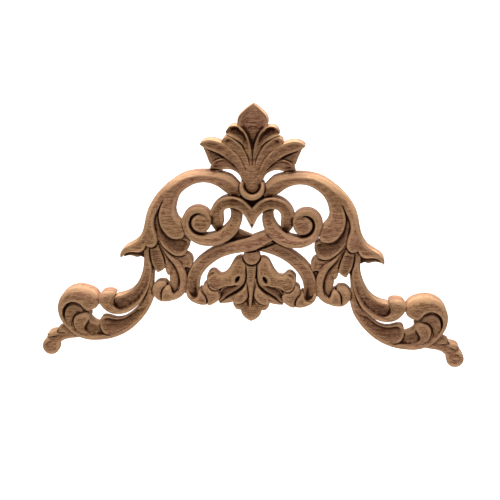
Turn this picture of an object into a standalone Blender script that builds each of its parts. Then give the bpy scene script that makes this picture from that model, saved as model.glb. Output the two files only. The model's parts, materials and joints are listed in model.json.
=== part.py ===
"""Carved flower applique: a pierced wooden onlay, carved in relief on the front and flat on the back.

Frame: +X to the viewer's right, +Y into the wall, +Z up. The flat back lies on y = 0 and the carving
rises towards -Y. The origin is on the back, in the middle of the strap crossing.

Each carved element is a shell between two edge lines, an A edge and a B edge, drawn in the XZ plane.
Its front has a height along the edges and a bulge (or, below zero, a hollow) between them. All the
elements are joined into one board, and the back is cut flat. Outlines are in millimetres.
"""
import bmesh
import bpy
import numpy as np
from math import cos, pi, radians, sin
from mathutils import Vector

MM = 0.001

# Driving dimensions, in millimetres
TOTAL_WIDTH = 305.0
DRAWN_WIDTH = 305.4
SCALE = TOTAL_WIDTH / DRAWN_WIDTH
BACK_SINK = 2.0
BACK_CUT_HEIGHT = 10.0
BACK_CUT_MARGIN = 20.0

# How finely the shells are divided
STATION_STEP = 3.6
ACROSS = 4
MIN_STATIONS = 3
CAP_STATIONS = 2
BLUNT_END = 0.12
DETAIL_KEPT = 0.41
BACK_TOLERANCE = 0.02
DOME_SIDES = 20
DOME_RINGS = 3

# EXACT leaves a few open edges where this many shells meet; every shell is closed, so this one is safe
BOARD_SOLVER = "MANIFOLD"

# The drilled eyes of the two lower leaves: centre x, centre z, half sizes and turn in degrees
EYE = (10.0, -26.2, 1.3, 2.7, 28.0)
EYE_SIDES = 12
EYE_FLOOR = 2.0
EYE_CUTTER_TOP = 30.0

# Cross-sections: where the crest or the valley lies from edge A (-1) to edge B (1), and its fullness
ROUND = (0.0, 2.0)
FULL = (0.0, 4.0)
CREST_BY_A = (-0.25, 1.9)
CREST_NEAR_A = (-0.1, 2.2)
CREST_NEAR_B = (0.1, 2.2)
CREST_BY_B = (0.2, 1.9)

# An open ring is drawn with this many steps, and this share of it narrows towards each end
RING_STEPS = 12
RING_TAPER = 0.25

WOOD_COLOR = (0.255, 0.135, 0.078, 1.0)
WOOD_ROUGHNESS = 0.55


def smooth_curve(knots, values, places):
    """A smooth curve through the values at the knots, and its slope, read at the places."""
    gaps = np.diff(knots)[:, None]
    slopes = np.diff(values, axis=0) / gaps
    tangents = np.zeros_like(values)
    if len(knots) == 2:
        tangents[:] = slopes[0]
    else:
        tangents[1:-1] = (slopes[:-1] * gaps[1:] + slopes[1:] * gaps[:-1]) / (gaps[1:] + gaps[:-1])
        tangents[0] = 1.5 * slopes[0] - 0.5 * tangents[1]
        tangents[-1] = 1.5 * slopes[-1] - 0.5 * tangents[-2]
    index = np.clip(np.searchsorted(knots, places, side="right") - 1, 0, len(knots) - 2)
    gap = gaps[index]
    s = (places - knots[index])[:, None] / gap
    start, end = values[index], values[index + 1]
    first, last = tangents[index] * gap, tangents[index + 1] * gap
    point = ((2 * s**3 - 3 * s**2 + 1) * start + (s**3 - 2 * s**2 + s) * first
             + (3 * s**2 - 2 * s**3) * end + (s**3 - s**2) * last)
    slope = ((6 * s**2 - 6 * s) * (start - end) + (3 * s**2 - 4 * s + 1) * first
             + (3 * s**2 - 2 * s) * last) / gap
    return point, slope


def spread(value, knots, places):
    """One number, or a list of numbers spaced along the element, read at the places."""
    numbers = np.atleast_1d(np.asarray(value, float))
    if len(numbers) == 1:
        return np.full(len(places), numbers[0])
    own_knots = knots if len(numbers) == len(knots) else np.linspace(knots[0], knots[-1], len(numbers))
    return smooth_curve(own_knots, numbers[:, None], places)[0][:, 0]


def stations_along(length, round_start, round_end):
    """Places along an element, closer together where an end is rounded."""
    quarter = np.linspace(0.0, pi / 2, CAP_STATIONS + 1)
    count = max(MIN_STATIONS, round((length - round_start - round_end) / STATION_STEP))
    places = [np.linspace(round_start, length - round_end, count + 1)]
    if round_start:
        places.append(round_start * (1 - np.cos(quarter)))
    if round_end:
        places.append(length - round_end * (1 - np.cos(quarter)))
    return np.unique(np.round(np.concatenate(places), 6))


def end_rounding(places, length, round_start, round_end):
    """1 along the element, falling as a quarter circle over the rounded ends."""
    share = np.ones(len(places))
    if round_start:
        share = np.minimum(share, np.sqrt(1 - np.clip(1 - places / round_start, 0, 1) ** 2))
    if round_end:
        share = np.minimum(share, np.sqrt(1 - np.clip(1 - (length - places) / round_end, 0, 1) ** 2))
    return share


def section_share(across, section):
    """How much of the bulge is reached at each place across, from 0 at the edges to 1 at the crest."""
    crest, fullness = section
    away = np.where(across > crest, (across - crest) / (1 - crest), (crest - across) / (1 + crest))
    return 1 - np.abs(away) ** fullness


def front_grid(edge_a, edge_b, knots, height, bulge, section, tilt, rounding, places, across):
    """Front points between two edges, as an array of (x, z, height)."""
    middle = (edge_a + edge_b) / 2
    narrowing = np.maximum(rounding, BLUNT_END)[:, None]
    edge_a = middle + (edge_a - middle) * narrowing
    edge_b = middle + (edge_b - middle) * narrowing
    share = section_share(across, section)
    weight = ((across + 1) / 2)[None, :, None]
    plan = edge_a[:, None, :] * (1 - weight) + edge_b[:, None, :] * weight
    rise = spread(bulge, knots, places) * rounding
    level = spread(height, knots, places)[:, None] + rise[:, None] * share[None, :]
    level = level - spread(tilt, knots, places)[:, None] * across[None, :]
    return np.concatenate([plan, level[:, :, None]], axis=2)


def shell_object(name, points, faces):
    """A closed mesh object from (x, z, height) points in millimetres."""
    vertices = [Vector((x, -height, z)) * (MM * SCALE) for x, z, height in points]
    mesh = bpy.data.meshes.new(name)
    mesh.from_pydata(vertices, [], faces)
    shape = bmesh.new()
    shape.from_mesh(mesh)
    bmesh.ops.triangulate(shape, faces=shape.faces[:])
    bmesh.ops.recalc_face_normals(shape, faces=shape.faces[:])
    shape.to_mesh(mesh)
    shape.free()
    element = bpy.data.objects.new(name, mesh)
    bpy.context.scene.collection.objects.link(element)
    return element


def grid_shell(name, front):
    """Close a front grid with side walls, end walls and a back behind the wall plane."""
    rows, columns = front.shape[:2]
    points = [tuple(point) for point in front.reshape(-1, 3)]
    back_a = len(points)
    points += [(row[0][0], row[0][1], -BACK_SINK) for row in front]
    back_b = len(points)
    points += [(row[-1][0], row[-1][1], -BACK_SINK) for row in front]
    faces = []
    for i in range(rows - 1):
        for j in range(columns - 1):
            corner = i * columns + j
            faces.append((corner, corner + 1, corner + columns + 1, corner + columns))
        first, last = i * columns, (i + 1) * columns - 1
        faces.append((first, first + columns, back_a + i + 1, back_a + i))
        faces.append((last, back_b + i, back_b + i + 1, last + columns))
        faces.append((back_a + i, back_a + i + 1, back_b + i + 1, back_b + i))
    start = list(range(columns))
    end = [(rows - 1) * columns + j for j in range(columns)]
    faces.append(start + [back_b, back_a])
    faces.append(end + [back_b + rows - 1, back_a + rows - 1])
    return shell_object(name, points, faces)


class Carving:
    """Collects the element shells, and their mirror images, before they are joined."""

    def __init__(self):
        self.elements = []

    def add(self, name, front, mirrored):
        self.elements.append(grid_shell(name, front))
        if mirrored:
            self.elements.append(grid_shell(name + "_left", front * np.array([-1.0, 1.0, 1.0])))

    def leaf(self, name, edge_a, edge_b, height, bulge=0.0, section=ROUND, tilt=0.0, caps=(0.0, 0.0),
             mirrored=True):
        """An element between two drawn edges."""
        edges = np.concatenate([np.array(edge_a, float), np.array(edge_b, float)], axis=1)
        steps = np.diff(edges, axis=0)
        run = (np.hypot(steps[:, 0], steps[:, 1]) + np.hypot(steps[:, 2], steps[:, 3])) / 2
        knots = np.concatenate([[0.0], np.cumsum(run)])
        places = stations_along(knots[-1], *caps)
        both = smooth_curve(knots, edges, places)[0]
        rounding = end_rounding(places, knots[-1], *caps)
        across = np.linspace(-1.0, 1.0, ACROSS + 1)
        self.add(name, front_grid(both[:, :2], both[:, 2:], knots, height, bulge, section, tilt,
                                  rounding, places, across), mirrored)

    def band(self, name, spine, height, bulge=0.0, section=ROUND, tilt=0.0, caps=(0.0, 0.0),
             mirrored=True):
        """An element along a spine of (x, z, width); edge A is on the left of the travel."""
        stations = np.array(spine, float)
        steps = np.diff(stations[:, :2], axis=0)
        knots = np.concatenate([[0.0], np.cumsum(np.hypot(steps[:, 0], steps[:, 1]))])
        places = stations_along(knots[-1], *caps)
        line, slope = smooth_curve(knots, stations, places)
        travel = slope[:, :2] / np.linalg.norm(slope[:, :2], axis=1)[:, None]
        left = np.stack([-travel[:, 1], travel[:, 0]], axis=1) * line[:, 2:3] / 2
        rounding = end_rounding(places, knots[-1], *caps)
        across = np.linspace(-1.0, 1.0, ACROSS + 1)
        self.add(name, front_grid(line[:, :2] + left, line[:, :2] - left, knots, height, bulge,
                                  section, tilt, rounding, places, across), mirrored)

    def symmetric_leaf(self, name, left_edge, height, **details):
        """A leaf on the middle line, whose right edge mirrors its left one."""
        right_edge = [(-x, z) for x, z in left_edge]
        self.leaf(name, left_edge, right_edge, height, mirrored=False, **details)

    def plate(self, name, outline, height, mirrored=True):
        """A flat layer that closes the board behind the grooves."""
        count = len(outline)
        for side in (1, -1) if mirrored else (1,):
            points = [(side * x, z, level) for level in (height, -BACK_SINK) for x, z in outline]
            faces = [tuple(range(count)), tuple(range(2 * count - 1, count - 1, -1))]
            for k in range(count):
                following = (k + 1) % count
                faces.append((k, following, count + following, count + k))
            suffix = "" if side == 1 else "_left"
            self.elements.append(shell_object(name + suffix, points, faces))

    def dome(self, name, x, z, radius, height, bulge, mirrored=True):
        """A round button with a domed front."""
        for side in (1, -1) if mirrored else (1,):
            points = [(side * x, z, height + bulge), (side * x, z, -BACK_SINK)]
            faces = []
            for ring in range(1, DOME_RINGS + 2):
                share = min(ring / DOME_RINGS, 1.0)
                level = height + bulge * (1 - share**2) if ring <= DOME_RINGS else -BACK_SINK
                for k in range(DOME_SIDES):
                    angle = 2 * pi * k / DOME_SIDES
                    points.append((side * x + radius * share * cos(angle),
                                   z + radius * share * sin(angle), level))
            for k in range(DOME_SIDES):
                following = (k + 1) % DOME_SIDES
                faces.append((0, 2 + k, 2 + following))
                for ring in range(DOME_RINGS):
                    low, high = 2 + ring * DOME_SIDES, 2 + (ring + 1) * DOME_SIDES
                    faces.append((low + k, high + k, high + following, low + following))
                last = 2 + DOME_RINGS * DOME_SIDES
                faces.append((1, last + following, last + k))
            suffix = "" if side == 1 else "_left"
            self.elements.append(shell_object(name + suffix, points, faces))


def ring_arc(x, z, radius, start, end, end_width, width):
    """Stations of an open ring that narrows towards both ends."""
    stations = []
    for step in range(RING_STEPS + 1):
        share = step / RING_STEPS
        angle = radians(start + (end - start) * share)
        swell = min(1.0, share / RING_TAPER, (1 - share) / RING_TAPER)
        stations.append((x + radius * cos(angle), z + radius * sin(angle),
                         end_width + (width - end_width) * swell))
    return stations


def palmette(carving):
    """The pointed bud, two pairs of curled lobes, the wide leaves and the stem."""
    carving.symmetric_leaf("palmette_bud",
                           [(-0.8, 62), (-2.2, 70), (-5.2, 77.5), (-8.6, 82), (-9.8, 86), (-9, 89.6),
                            (-5.8, 93.2), (-2.6, 96), (-0.2, 98)],
                           height=[6.5, 7.5, 9.5, 11.5, 12.2, 11.8, 10.5, 9, 7.6],
                           bulge=[-0.5, -1, -1.6, -2, -1.6, -1.4, -1.2, -0.8, 0])
    carving.leaf("palmette_upper_lobe",
                 [(0.2, 56), (0.5, 63), (1.8, 71), (4.2, 77.2), (8, 81.2), (12, 82), (15.5, 80.4),
                  (17.4, 77.2)],
                 [(1.6, 54), (3.6, 61.6), (6, 67.4), (9, 71.6), (12.2, 74), (14.6, 75.2), (16.4, 75.8),
                  (17.3, 76.6)],
                 height=[8.6, 10, 11.5, 12.6, 13.3, 13.4, 13, 12.2],
                 bulge=[0, -0.4, -1.4, -2.4, -3.2, -3.4, -2.2, -0.5],
                 tilt=[0.2, 0.6, 1, 0.8, 0.4, 0.2, 0, 0])
    carving.leaf("palmette_lower_lobe",
                 [(0.4, 47), (1.4, 54.4), (3.2, 61.6), (6.2, 68), (10.2, 72.2), (14, 74.6),
                  (17.3, 75.3), (19.7, 73.4), (20.4, 70.6)],
                 [(3.8, 44), (5.8, 50.6), (8.2, 56.6), (11.2, 61.6), (14.4, 65), (16.8, 67.2),
                  (18.6, 68.7), (19.8, 69.4), (20.3, 69.9)],
                 height=[9.4, 10.4, 11.2, 12.2, 12.9, 13.3, 13.4, 13, 12.4],
                 bulge=[0.8, 0.5, -0.4, -1.2, -1.8, -2.2, -2, -1, -0.2], section=CREST_BY_A,
                 tilt=[0, 0.1, 0.6, 0.9, 0.8, 0.6, 0.4, 0.2, 0])
    carving.leaf("palmette_wide_leaf",
                 [(2, 45), (5, 54), (9, 61.6), (14, 66.6), (20, 70.2), (25, 72), (30, 72.4),
                  (33.8, 71.2), (35.8, 69.6)],
                 [(5.6, 42), (8.6, 51.4), (12.8, 57.2), (18, 61.4), (23, 64.4), (27, 66.2), (31, 67.6),
                  (34, 68.6), (35.7, 69.3)],
                 height=[8.8, 10.4, 11.2, 11.9, 12.6, 13.4, 14, 13.6, 12.6],
                 bulge=[0.8, 0.8, 0.5, 0.2, 0, 0, 0, 0, 0],
                 tilt=[0.3, 0.4, 0.7, 1, 1.4, 1.6, 1.5, 0.8, 0.2])
    carving.leaf("palmette_back_blade",
                 [(9, 53.5), (14, 57.8), (20, 61.9), (26, 65), (31, 66.9), (34, 67.7)],
                 [(10, 50.6), (15, 53.4), (20, 54.6), (25, 55.2), (29.2, 56.2), (31.2, 61)],
                 height=[7.5, 7.8, 8.2, 8.6, 9, 9.2], bulge=[0, 0.2, 0.3, 0.3, 0.3, 0.2],
                 tilt=[-0.2, -0.4, -0.7, -0.9, -0.8, 0])
    carving.plate("palmette_ground",
                  [(-4, 50), (-18, 58), (-18, 72), (-15, 77), (-8, 80), (0, 84), (8, 80), (15, 77),
                   (18, 72), (18, 58), (4, 50)],
                  6, mirrored=False)
    carving.leaf("palmette_low_lobe",
                 [(6.5, 46), (8.6, 52), (12, 56.4), (16.2, 59.2), (20.8, 60.2), (25, 59.2),
                  (28.2, 56.2), (29.8, 51.8)],
                 [(7.4, 45), (9.4, 49.2), (12.2, 51.4), (15.6, 52.6), (19.2, 52.6), (22.6, 51.4),
                  (26, 49.6), (29, 48.8)],
                 height=[9, 9.8, 10.6, 11.2, 11.6, 11.6, 11, 10],
                 bulge=[0.4, -0.4, -1.4, -2, -2.2, -2, -1.2, -0.3],
                 tilt=[0, 0.2, 0.6, 0.9, 1, 0.9, 0.6, 0.2], section=CREST_NEAR_A)
    carving.band("palmette_stem",
                 [(0, 35.6, 9), (0, 39, 11.5), (0, 43, 13.2), (0, 47, 15), (0, 51, 15.5),
                  (0, 56, 13.4), (0, 61, 8.6), (0, 66, 3.4)],
                 height=[8.2, 8.8, 9.4, 9.8, 9.8, 9.4, 8.8, 8],
                 bulge=[1.6, 1.9, 2, 2.1, 1.8, 1.5, 1.1, 0.6], caps=(3.5, 0), mirrored=False)


def collar(carving):
    """The raised ring that grips the stem."""
    carving.band("collar",
                 ring_arc(0, 39.9, 7.4, -206, 26, 2.4, 3.5),
                 height=[11.4, 12.6, 12.8, 12.8, 12.8, 12.6, 11.4], bulge=0.8, section=FULL,
                 caps=(1.2, 1.2), mirrored=False)
    carving.plate("collar_ground",
                  [(-15, 33), (-8.4, 41), (8.4, 41), (15, 33), (15, 28), (8, 27), (0, 23), (-8, 27),
                   (-15, 28)],
                  4.5, mirrored=False)


def c_scroll(carving):
    """The large scroll from the collar to the flick, with its three inner acanthus lobes."""
    carving.leaf("c_scroll",
                 [(7, 39.4), (10.2, 43.6), (14.6, 47.8), (20, 50.2), (28, 51.9), (36.5, 52),
                  (44, 50.8), (51, 47.8), (57.7, 43), (63.4, 38), (67.8, 32.8), (71.4, 26.8),
                  (73.8, 20)],
                 [(9, 32.6), (13.6, 33.6), (18.6, 36.2), (22.8, 39.4), (28.4, 42), (34, 42.8),
                  (39.6, 41.8), (45, 39), (49.4, 35.2), (52.2, 30.4), (53.6, 25), (54.4, 20), (54, 14)],
                 height=[8.4, 9.2, 10, 10.4, 10.6, 10.6, 10.6, 10.6, 10.4, 10.2, 10, 9.4, 8.4],
                 bulge=[1.4, 1.9, 2.4, 2.6, 2.8, 2.8, 2.8, 2.6, 2.3, 1.8, 1.2, 0.6, 0.2],
                 section=CREST_BY_A, tilt=0.3)
    carving.leaf("shell_leaf",
                 [(50.8, 34), (53, 28.5), (54, 23), (52.8, 18), (50, 14.4), (48, 9.5), (47.4, 5),
                  (49.6, 2.8)],
                 [(60, 36), (62.6, 30), (64.8, 24), (65.6, 18), (65.2, 12.6), (62.8, 7.6), (59, 4),
                  (54.8, 2.4)],
                 height=[10.2, 10.5, 11, 11.4, 11.8, 12, 12, 11.8],
                 bulge=[0.3, 0.2, -0.2, -0.8, -1.4, -1.4, -0.8, 0],
                 tilt=[-0.8, -0.7, -0.5, -0.4, -0.3, -0.2, 0, 0], section=FULL)
    carving.plate("acanthus_ground",
                  [(62, 30), (72, 20), (74, 4), (73, -14), (66.5, -20), (58, -22), (56, -33),
                   (50, -37), (45, -34), (44, -20), (52, -10), (50, -2), (58, 8)],
                  5)
    carving.leaf("outer_strap",
                 [(56, 43), (59.6, 36.4), (62.6, 30), (65.6, 23.6), (68.2, 17.4), (69.4, 11.6),
                  (68.4, 6.4), (67, 2), (67.4, -1.8), (70, -4.3)],
                 [(60, 41), (66.4, 34), (70.8, 27.6), (73.6, 21.2), (75.2, 14.4), (76.2, 8.6),
                  (77.2, 4.4), (77.6, 1), (76.6, -1.6), (73.6, -4)],
                 height=[10, 10.5, 10.9, 11.4, 12, 12.4, 12.6, 12.6, 12.4, 12],
                 bulge=[0.3, 0.5, 0.8, 1.1, 1.2, 1.1, 1, 0.8, 0.5, 0], section=CREST_NEAR_B,
                 tilt=[0.8, 0.8, 0.7, 0.6, 0.4, 0.3, 0.2, 0, 0, 0])
    carving.leaf("flick_leaf",
                 [(72, 12), (73.6, 5.4), (74, 0.4), (74.6, -3.6), (77, -7.8), (80.6, -9.6), (85, -9.3),
                  (88, -10), (90, -11.6), (91.6, -12.8)],
                 [(76, 11), (77.6, 5), (80, 1.2), (83, -1.4), (86, -3), (88.6, -4.6), (90.8, -6.6),
                  (92, -8.8), (92.6, -10.8), (92.6, -12.6)],
                 height=[10.6, 11.2, 11.6, 12, 12.4, 12.6, 12.6, 12.2, 11.4, 10.4],
                 bulge=[0.6, 0.9, 1.2, 1.3, 1.3, 1.2, 1, 0.8, 0.4, 0], section=CREST_BY_B,
                 tilt=[0, 0.1, 0.2, 0.3, 0.3, 0.3, 0.2, 0.1, 0, 0])
    carving.leaf("flick_back",
                 [(73, -6), (75.4, -11.6), (77.2, -13.6), (79.4, -12), (82.6, -12.7), (86, -11.6),
                  (88.4, -11.2), (91, -13)],
                 [(77, -1), (80, -4), (83, -5.4), (85, -6.4), (87, -7.2), (89, -8), (90.6, -9),
                  (92, -11.4)],
                 height=[5, 5, 4.8, 4.6, 4.6, 4.8, 5.4, 6.4], bulge=0.3)
    carving.leaf("second_lobe",
                 [(64.6, 24), (63.4, 15), (62, 8), (58.6, 3.2), (53.6, 2.6), (48.2, 3.2), (45, 1.8),
                  (43.2, -1.2)],
                 [(67.2, 23), (67, 14), (66.4, 7), (65, 1), (61.8, -4.2), (57.4, -8.2), (51.6, -10.2),
                  (46, -8.2)],
                 height=[8.6, 9.4, 10, 10.4, 10.6, 10.8, 10.8, 10.4],
                 bulge=[0, -0.6, -1.2, -2, -2.8, -3, -2.2, -0.6], section=ROUND,
                 tilt=[0, -0.3, -0.6, -0.9, -1, -0.9, -0.6, -0.2], caps=(0, 2.5))
    carving.leaf("third_lobe",
                 [(62, -2), (56, -5), (50, -5), (46, -6), (43, -9.6), (41.8, -13.4), (42.4, -17.4)],
                 [(62, -8), (58.6, -12), (56, -15.4), (53.6, -18.2), (51, -19.6), (48, -19.4),
                  (45, -19.2)],
                 height=[7, 7.4, 7.8, 8.2, 8.6, 8.8, 8.8], bulge=[0, 0.3, 0.3, 0.2, 0, 0, 0],
                 tilt=[0, -0.3, -0.5, -0.4, -0.2, 0, 0])
    carving.band("acanthus_stem",
                 [(66.4, 20, 1.6), (67.4, 13, 2.2), (66.6, 6, 2.8), (64.8, -0.4, 3.2),
                  (61.4, -6.6, 3.6), (57.2, -12.4, 4.2), (53.4, -18, 4.6), (50.4, -23.8, 4.6),
                  (48.8, -29.6, 4.4), (48.6, -34.4, 4.4), (50.4, -38.2, 4.4), (54, -40.6, 4.2),
                  (58, -41.8, 4)],
                 height=[7.5, 7.6, 7.9, 8.4, 8.9, 9.4, 9.8, 10.2, 10.4, 10.6, 10.8, 11, 11],
                 bulge=[0.4, 0.6, 0.8, 1, 1.1, 1.2, 1.2, 1.2, 1.2, 1.2, 1.2, 1, 0.8])
    carving.leaf("striped_leaf",
                 [(66, 0), (64, -5), (62, -10), (61, -14.6), (61.6, -18.6), (63.2, -21.4),
                  (65.2, -22.9)],
                 [(73, 0), (72.8, -6), (72.6, -11), (71.4, -15.4), (69.8, -18.8), (68.2, -21.4),
                  (66.8, -23.2)],
                 height=[7.4, 7.8, 8.2, 8.5, 8.8, 9, 9], bulge=[0.8, 1.2, 1.6, 1.8, 1.6, 1.2, 0.4])
    carving.leaf("notched_leaf",
                 [(61, -8), (58, -13.4), (55.4, -18), (55.6, -21), (57.2, -23.6), (58.6, -24.8)],
                 [(64, -9), (62.2, -14), (61.6, -18.4), (61.4, -21), (60.6, -23.4), (59.4, -24.9)],
                 height=[7, 7.3, 7.7, 8, 8.2, 8.3], bulge=[0.6, 1, 1.2, 1.1, 0.8, 0.2])
    carving.leaf("tongue_leaf",
                 [(55, -16), (52.6, -21), (51.2, -26.6), (50.8, -32), (52, -36), (54.2, -38)],
                 [(57.4, -18), (58, -22.6), (58.6, -26), (58, -30), (57.4, -34), (56.6, -37.2)],
                 height=[7, 7.4, 7.8, 8, 8, 7.6], bulge=[0.6, 1, 1.4, 1.5, 1.2, 0.4])
    carving.leaf("low_curl_lobe",
                 [(57.2, -32.4), (56.8, -35.6), (55.6, -38.4), (54.4, -41.2), (56.6, -43.2),
                  (60.4, -44.2)],
                 [(59.8, -31.8), (62.2, -33.8), (63.6, -36.4), (63.9, -39.2), (64.2, -41.8),
                  (64.8, -44)],
                 height=[10.6, 11.6, 12, 12, 11.6, 10.8], bulge=[0.3, 0.8, 1.2, 1.2, 0.9, 0.2],
                 caps=(1.5, 0))
    carving.leaf("low_curl_ball",
                 [(64, -44.2), (64.2, -41), (64, -38), (63, -35.4), (61.2, -33), (59.4, -30.6)],
                 [(67.6, -42.6), (70, -39.6), (70.8, -35.4), (69.6, -31), (66.8, -28.2), (63.2, -27.2)],
                 height=[10, 10.4, 10.8, 10.8, 10.6, 10.2], bulge=[0.6, 1.6, 2.2, 2.2, 1.8, 0.8],
                 caps=(0, 2.6))
    carving.plate("low_curl_ground",
                  [(56, -36), (60, -31), (66, -32), (67, -40), (58, -42)],
                  6)


def long_stems(carving):
    """The two stems below the scroll and their rolled ends."""
    carving.leaf("upper_stem",
                 [(72.4, 2), (72, -6), (71.6, -14), (71, -22), (71.8, -29), (74, -36), (78, -43.4),
                  (83, -49.2), (88.6, -53), (95, -54.6), (100, -54.2), (104.4, -52.2)],
                 [(76, 0), (76.4, -8), (76.8, -15), (77.8, -22), (80, -29), (83.4, -34.8),
                  (87.6, -38.8), (92.4, -41), (97, -41.8), (99.4, -43.6), (100, -46.4), (99, -49)],
                 height=[7.5, 8.4, 9.2, 9.8, 10.2, 10.6, 10.8, 11, 11.2, 11.4, 11.6, 11.6],
                 bulge=[0.6, 0.6, 0.4, 0, -0.6, -1.2, -1.8, -2.4, -2.8, -2, -0.6, 0.4],
                 section=CREST_NEAR_B, tilt=[0, 0, 0, -0.1, -0.2, -0.2, -0.2, -0.2, -0.1, 0, 0, 0])
    carving.leaf("upper_curl_ball",
                 [(92, -52), (97, -50.4), (99.6, -47), (99.6, -43.4), (97.8, -41), (96.4, -39.2)],
                 [(97, -54.6), (103.4, -53), (107.8, -48.8), (109.9, -43), (107.4, -37.8),
                  (101.4, -35.6)],
                 height=[9.4, 10.6, 11.2, 11.2, 11, 10.6], bulge=[0.2, 1.2, 2, 2.4, 2, 0.8], caps=(0, 3))
    carving.plate("stem_ground",
                  [(71, -16), (76, -18), (77, -28), (80, -38), (83.6, -47.6), (80, -50), (76, -45),
                   (70.5, -34)],
                  5)
    carving.leaf("lower_stem",
                 [(68.8, -19), (70, -26), (70.6, -33), (70.4, -40), (72.4, -48), (77, -56),
                  (83.4, -63.2), (91, -69), (100, -73), (110, -74.9), (119, -74.7), (126.4, -72.2),
                  (132, -68), (136, -63)],
                 [(72, -19), (73, -26), (73.8, -33), (74.4, -40), (77, -46.8), (81.4, -53.4),
                  (87.2, -59.6), (94, -64.6), (101.4, -68), (109, -69.8), (116.6, -69.9),
                  (122.8, -68.6), (127.8, -65.6), (131.4, -62)],
                 height=[6.6, 7.6, 8.8, 9.6, 10, 10.2, 10.4, 10.6, 10.8, 10.8, 10.8, 10.8, 10.2, 8.6],
                 bulge=[0.4, 0.8, 1, 1.2, 1.3, 1.3, 1.3, 1.3, 1.2, 1.1, 1, 0.9, 0.6, 0.2])
    carving.leaf("stem_leaf",
                 [(72, -33), (74, -42), (78.4, -50.2), (84.4, -58), (92, -64.6), (99, -68.8),
                  (104, -70.4), (107.2, -67.6), (108.6, -64)],
                 [(74, -33), (77.4, -42), (82.6, -48.8), (87.4, -54.4), (93, -57.2), (99, -57.4),
                  (104.6, -56), (107.8, -57.6), (109, -60.6)],
                 height=[7.4, 8.4, 9.4, 10, 10.4, 10.8, 11, 11, 10.6],
                 bulge=[0, -0.8, -1.6, -2.2, -2.6, -2.6, -2.2, -1.4, -0.3], section=CREST_NEAR_A,
                 tilt=[0, -0.2, -0.4, -0.4, -0.4, -0.3, -0.2, 0, 0])
    carving.leaf("hollow",
                 [(104, -70), (110, -70.4), (116, -70), (121.6, -68)],
                 [(107.6, -63.6), (111.6, -63), (114.8, -61.4), (117.4, -59)],
                 height=[8.2, 8.4, 8.8, 9.4], bulge=[-0.4, -1.2, -1.2, -0.4],
                 tilt=[-0.4, -0.8, -0.8, -0.4])
    carving.leaf("inner_lobe",
                 [(116, -73.4), (120.4, -70), (121.4, -66), (118.4, -61.6), (116, -57.4),
                  (117.4, -53.8)],
                 [(124, -72.4), (128.2, -67), (128.8, -62), (127, -58), (124.4, -56), (121.2, -54.2)],
                 height=[7.6, 9.2, 10, 10, 9.8, 9.2], bulge=[0.4, 1, 1.6, 1.6, 1.3, 0.6], caps=(0, 2.2))
    carving.leaf("middle_lobe",
                 [(122, -72), (127.4, -67.6), (129, -62.4), (127.6, -58.4), (124.6, -55.8),
                  (121.4, -54.6)],
                 [(129, -70.6), (134, -64.8), (135.6, -58.4), (134.2, -52.4), (129, -48.8),
                  (122.4, -50.8)],
                 height=[7.4, 8.6, 9, 9, 8.8, 8.6], bulge=[0.2, 0.4, 0.5, 0.4, 0.2, 0.2],
                 tilt=[0, -0.2, -0.4, -0.4, -0.3, 0])
    carving.leaf("great_ball",
                 [(129.4, -70.4), (135.6, -64), (139, -57), (139.4, -49), (136.4, -41.4), (131, -36),
                  (124, -33.9), (117, -35.2), (111.6, -39.2), (109, -44.6), (110.8, -49.8),
                  (115.4, -52.4)],
                 [(126, -69), (132.2, -64.4), (134.9, -58.4), (134.4, -53.2), (132.2, -49.8),
                  (129.4, -48.2), (126.6, -47.8), (124.4, -48.6), (122.8, -49.9), (121.6, -51.2),
                  (120.6, -52.4), (119, -53)],
                 height=[8.4, 9.8, 10.2, 10.6, 10.8, 11, 11, 10.8, 10.6, 10.4, 10.2, 10],
                 bulge=[0.3, 0.8, 1.4, 1.8, 2.2, 2.6, 3, 3.2, 3.2, 2.8, 1.8, 0.4], section=CREST_NEAR_A)


def end_leaf(carving):
    """The small knuckled leaf and ball at the outer tip."""
    carving.leaf("end_stem",
                 [(120, -73.4), (127, -75), (133, -75.8), (137.6, -77.6), (140.4, -81), (140.6, -84.6)],
                 [(122, -71), (130, -69.4), (137, -69.6), (143, -71.6), (147.4, -75), (150, -79)],
                 height=[6.5, 6.8, 7, 7.2, 7.6, 7.8], bulge=[0.6, 0.8, 0.8, 0.9, 1, 1])
    carving.dome("end_ball", 146.4, -82.2, 6.3, 7, 2.4)
    carving.leaf("end_knuckle_one",
                 [(131, -72.4), (135, -71), (139, -70.6)],
                 [(133.6, -66.8), (138.2, -66.2), (142, -68.8)],
                 height=[6.6, 8.2, 8], bulge=[0.3, 0.8, 0.4], caps=(0, 2))
    carving.leaf("end_knuckle_two",
                 [(138, -73.4), (142.6, -73.4), (147, -74.6)],
                 [(141, -69.4), (145.6, -70), (149.4, -73)],
                 height=[7, 8.6, 8.4], bulge=[0.3, 0.8, 0.4], caps=(0, 2))
    carving.leaf("end_knuckle_three",
                 [(143, -77.4), (146.6, -78), (149.4, -80)],
                 [(147, -74.4), (150.4, -76.6), (152.4, -80)],
                 height=[7.4, 8.6, 8.4], bulge=[0.3, 0.8, 0.4], caps=(0, 1.6))


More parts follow.
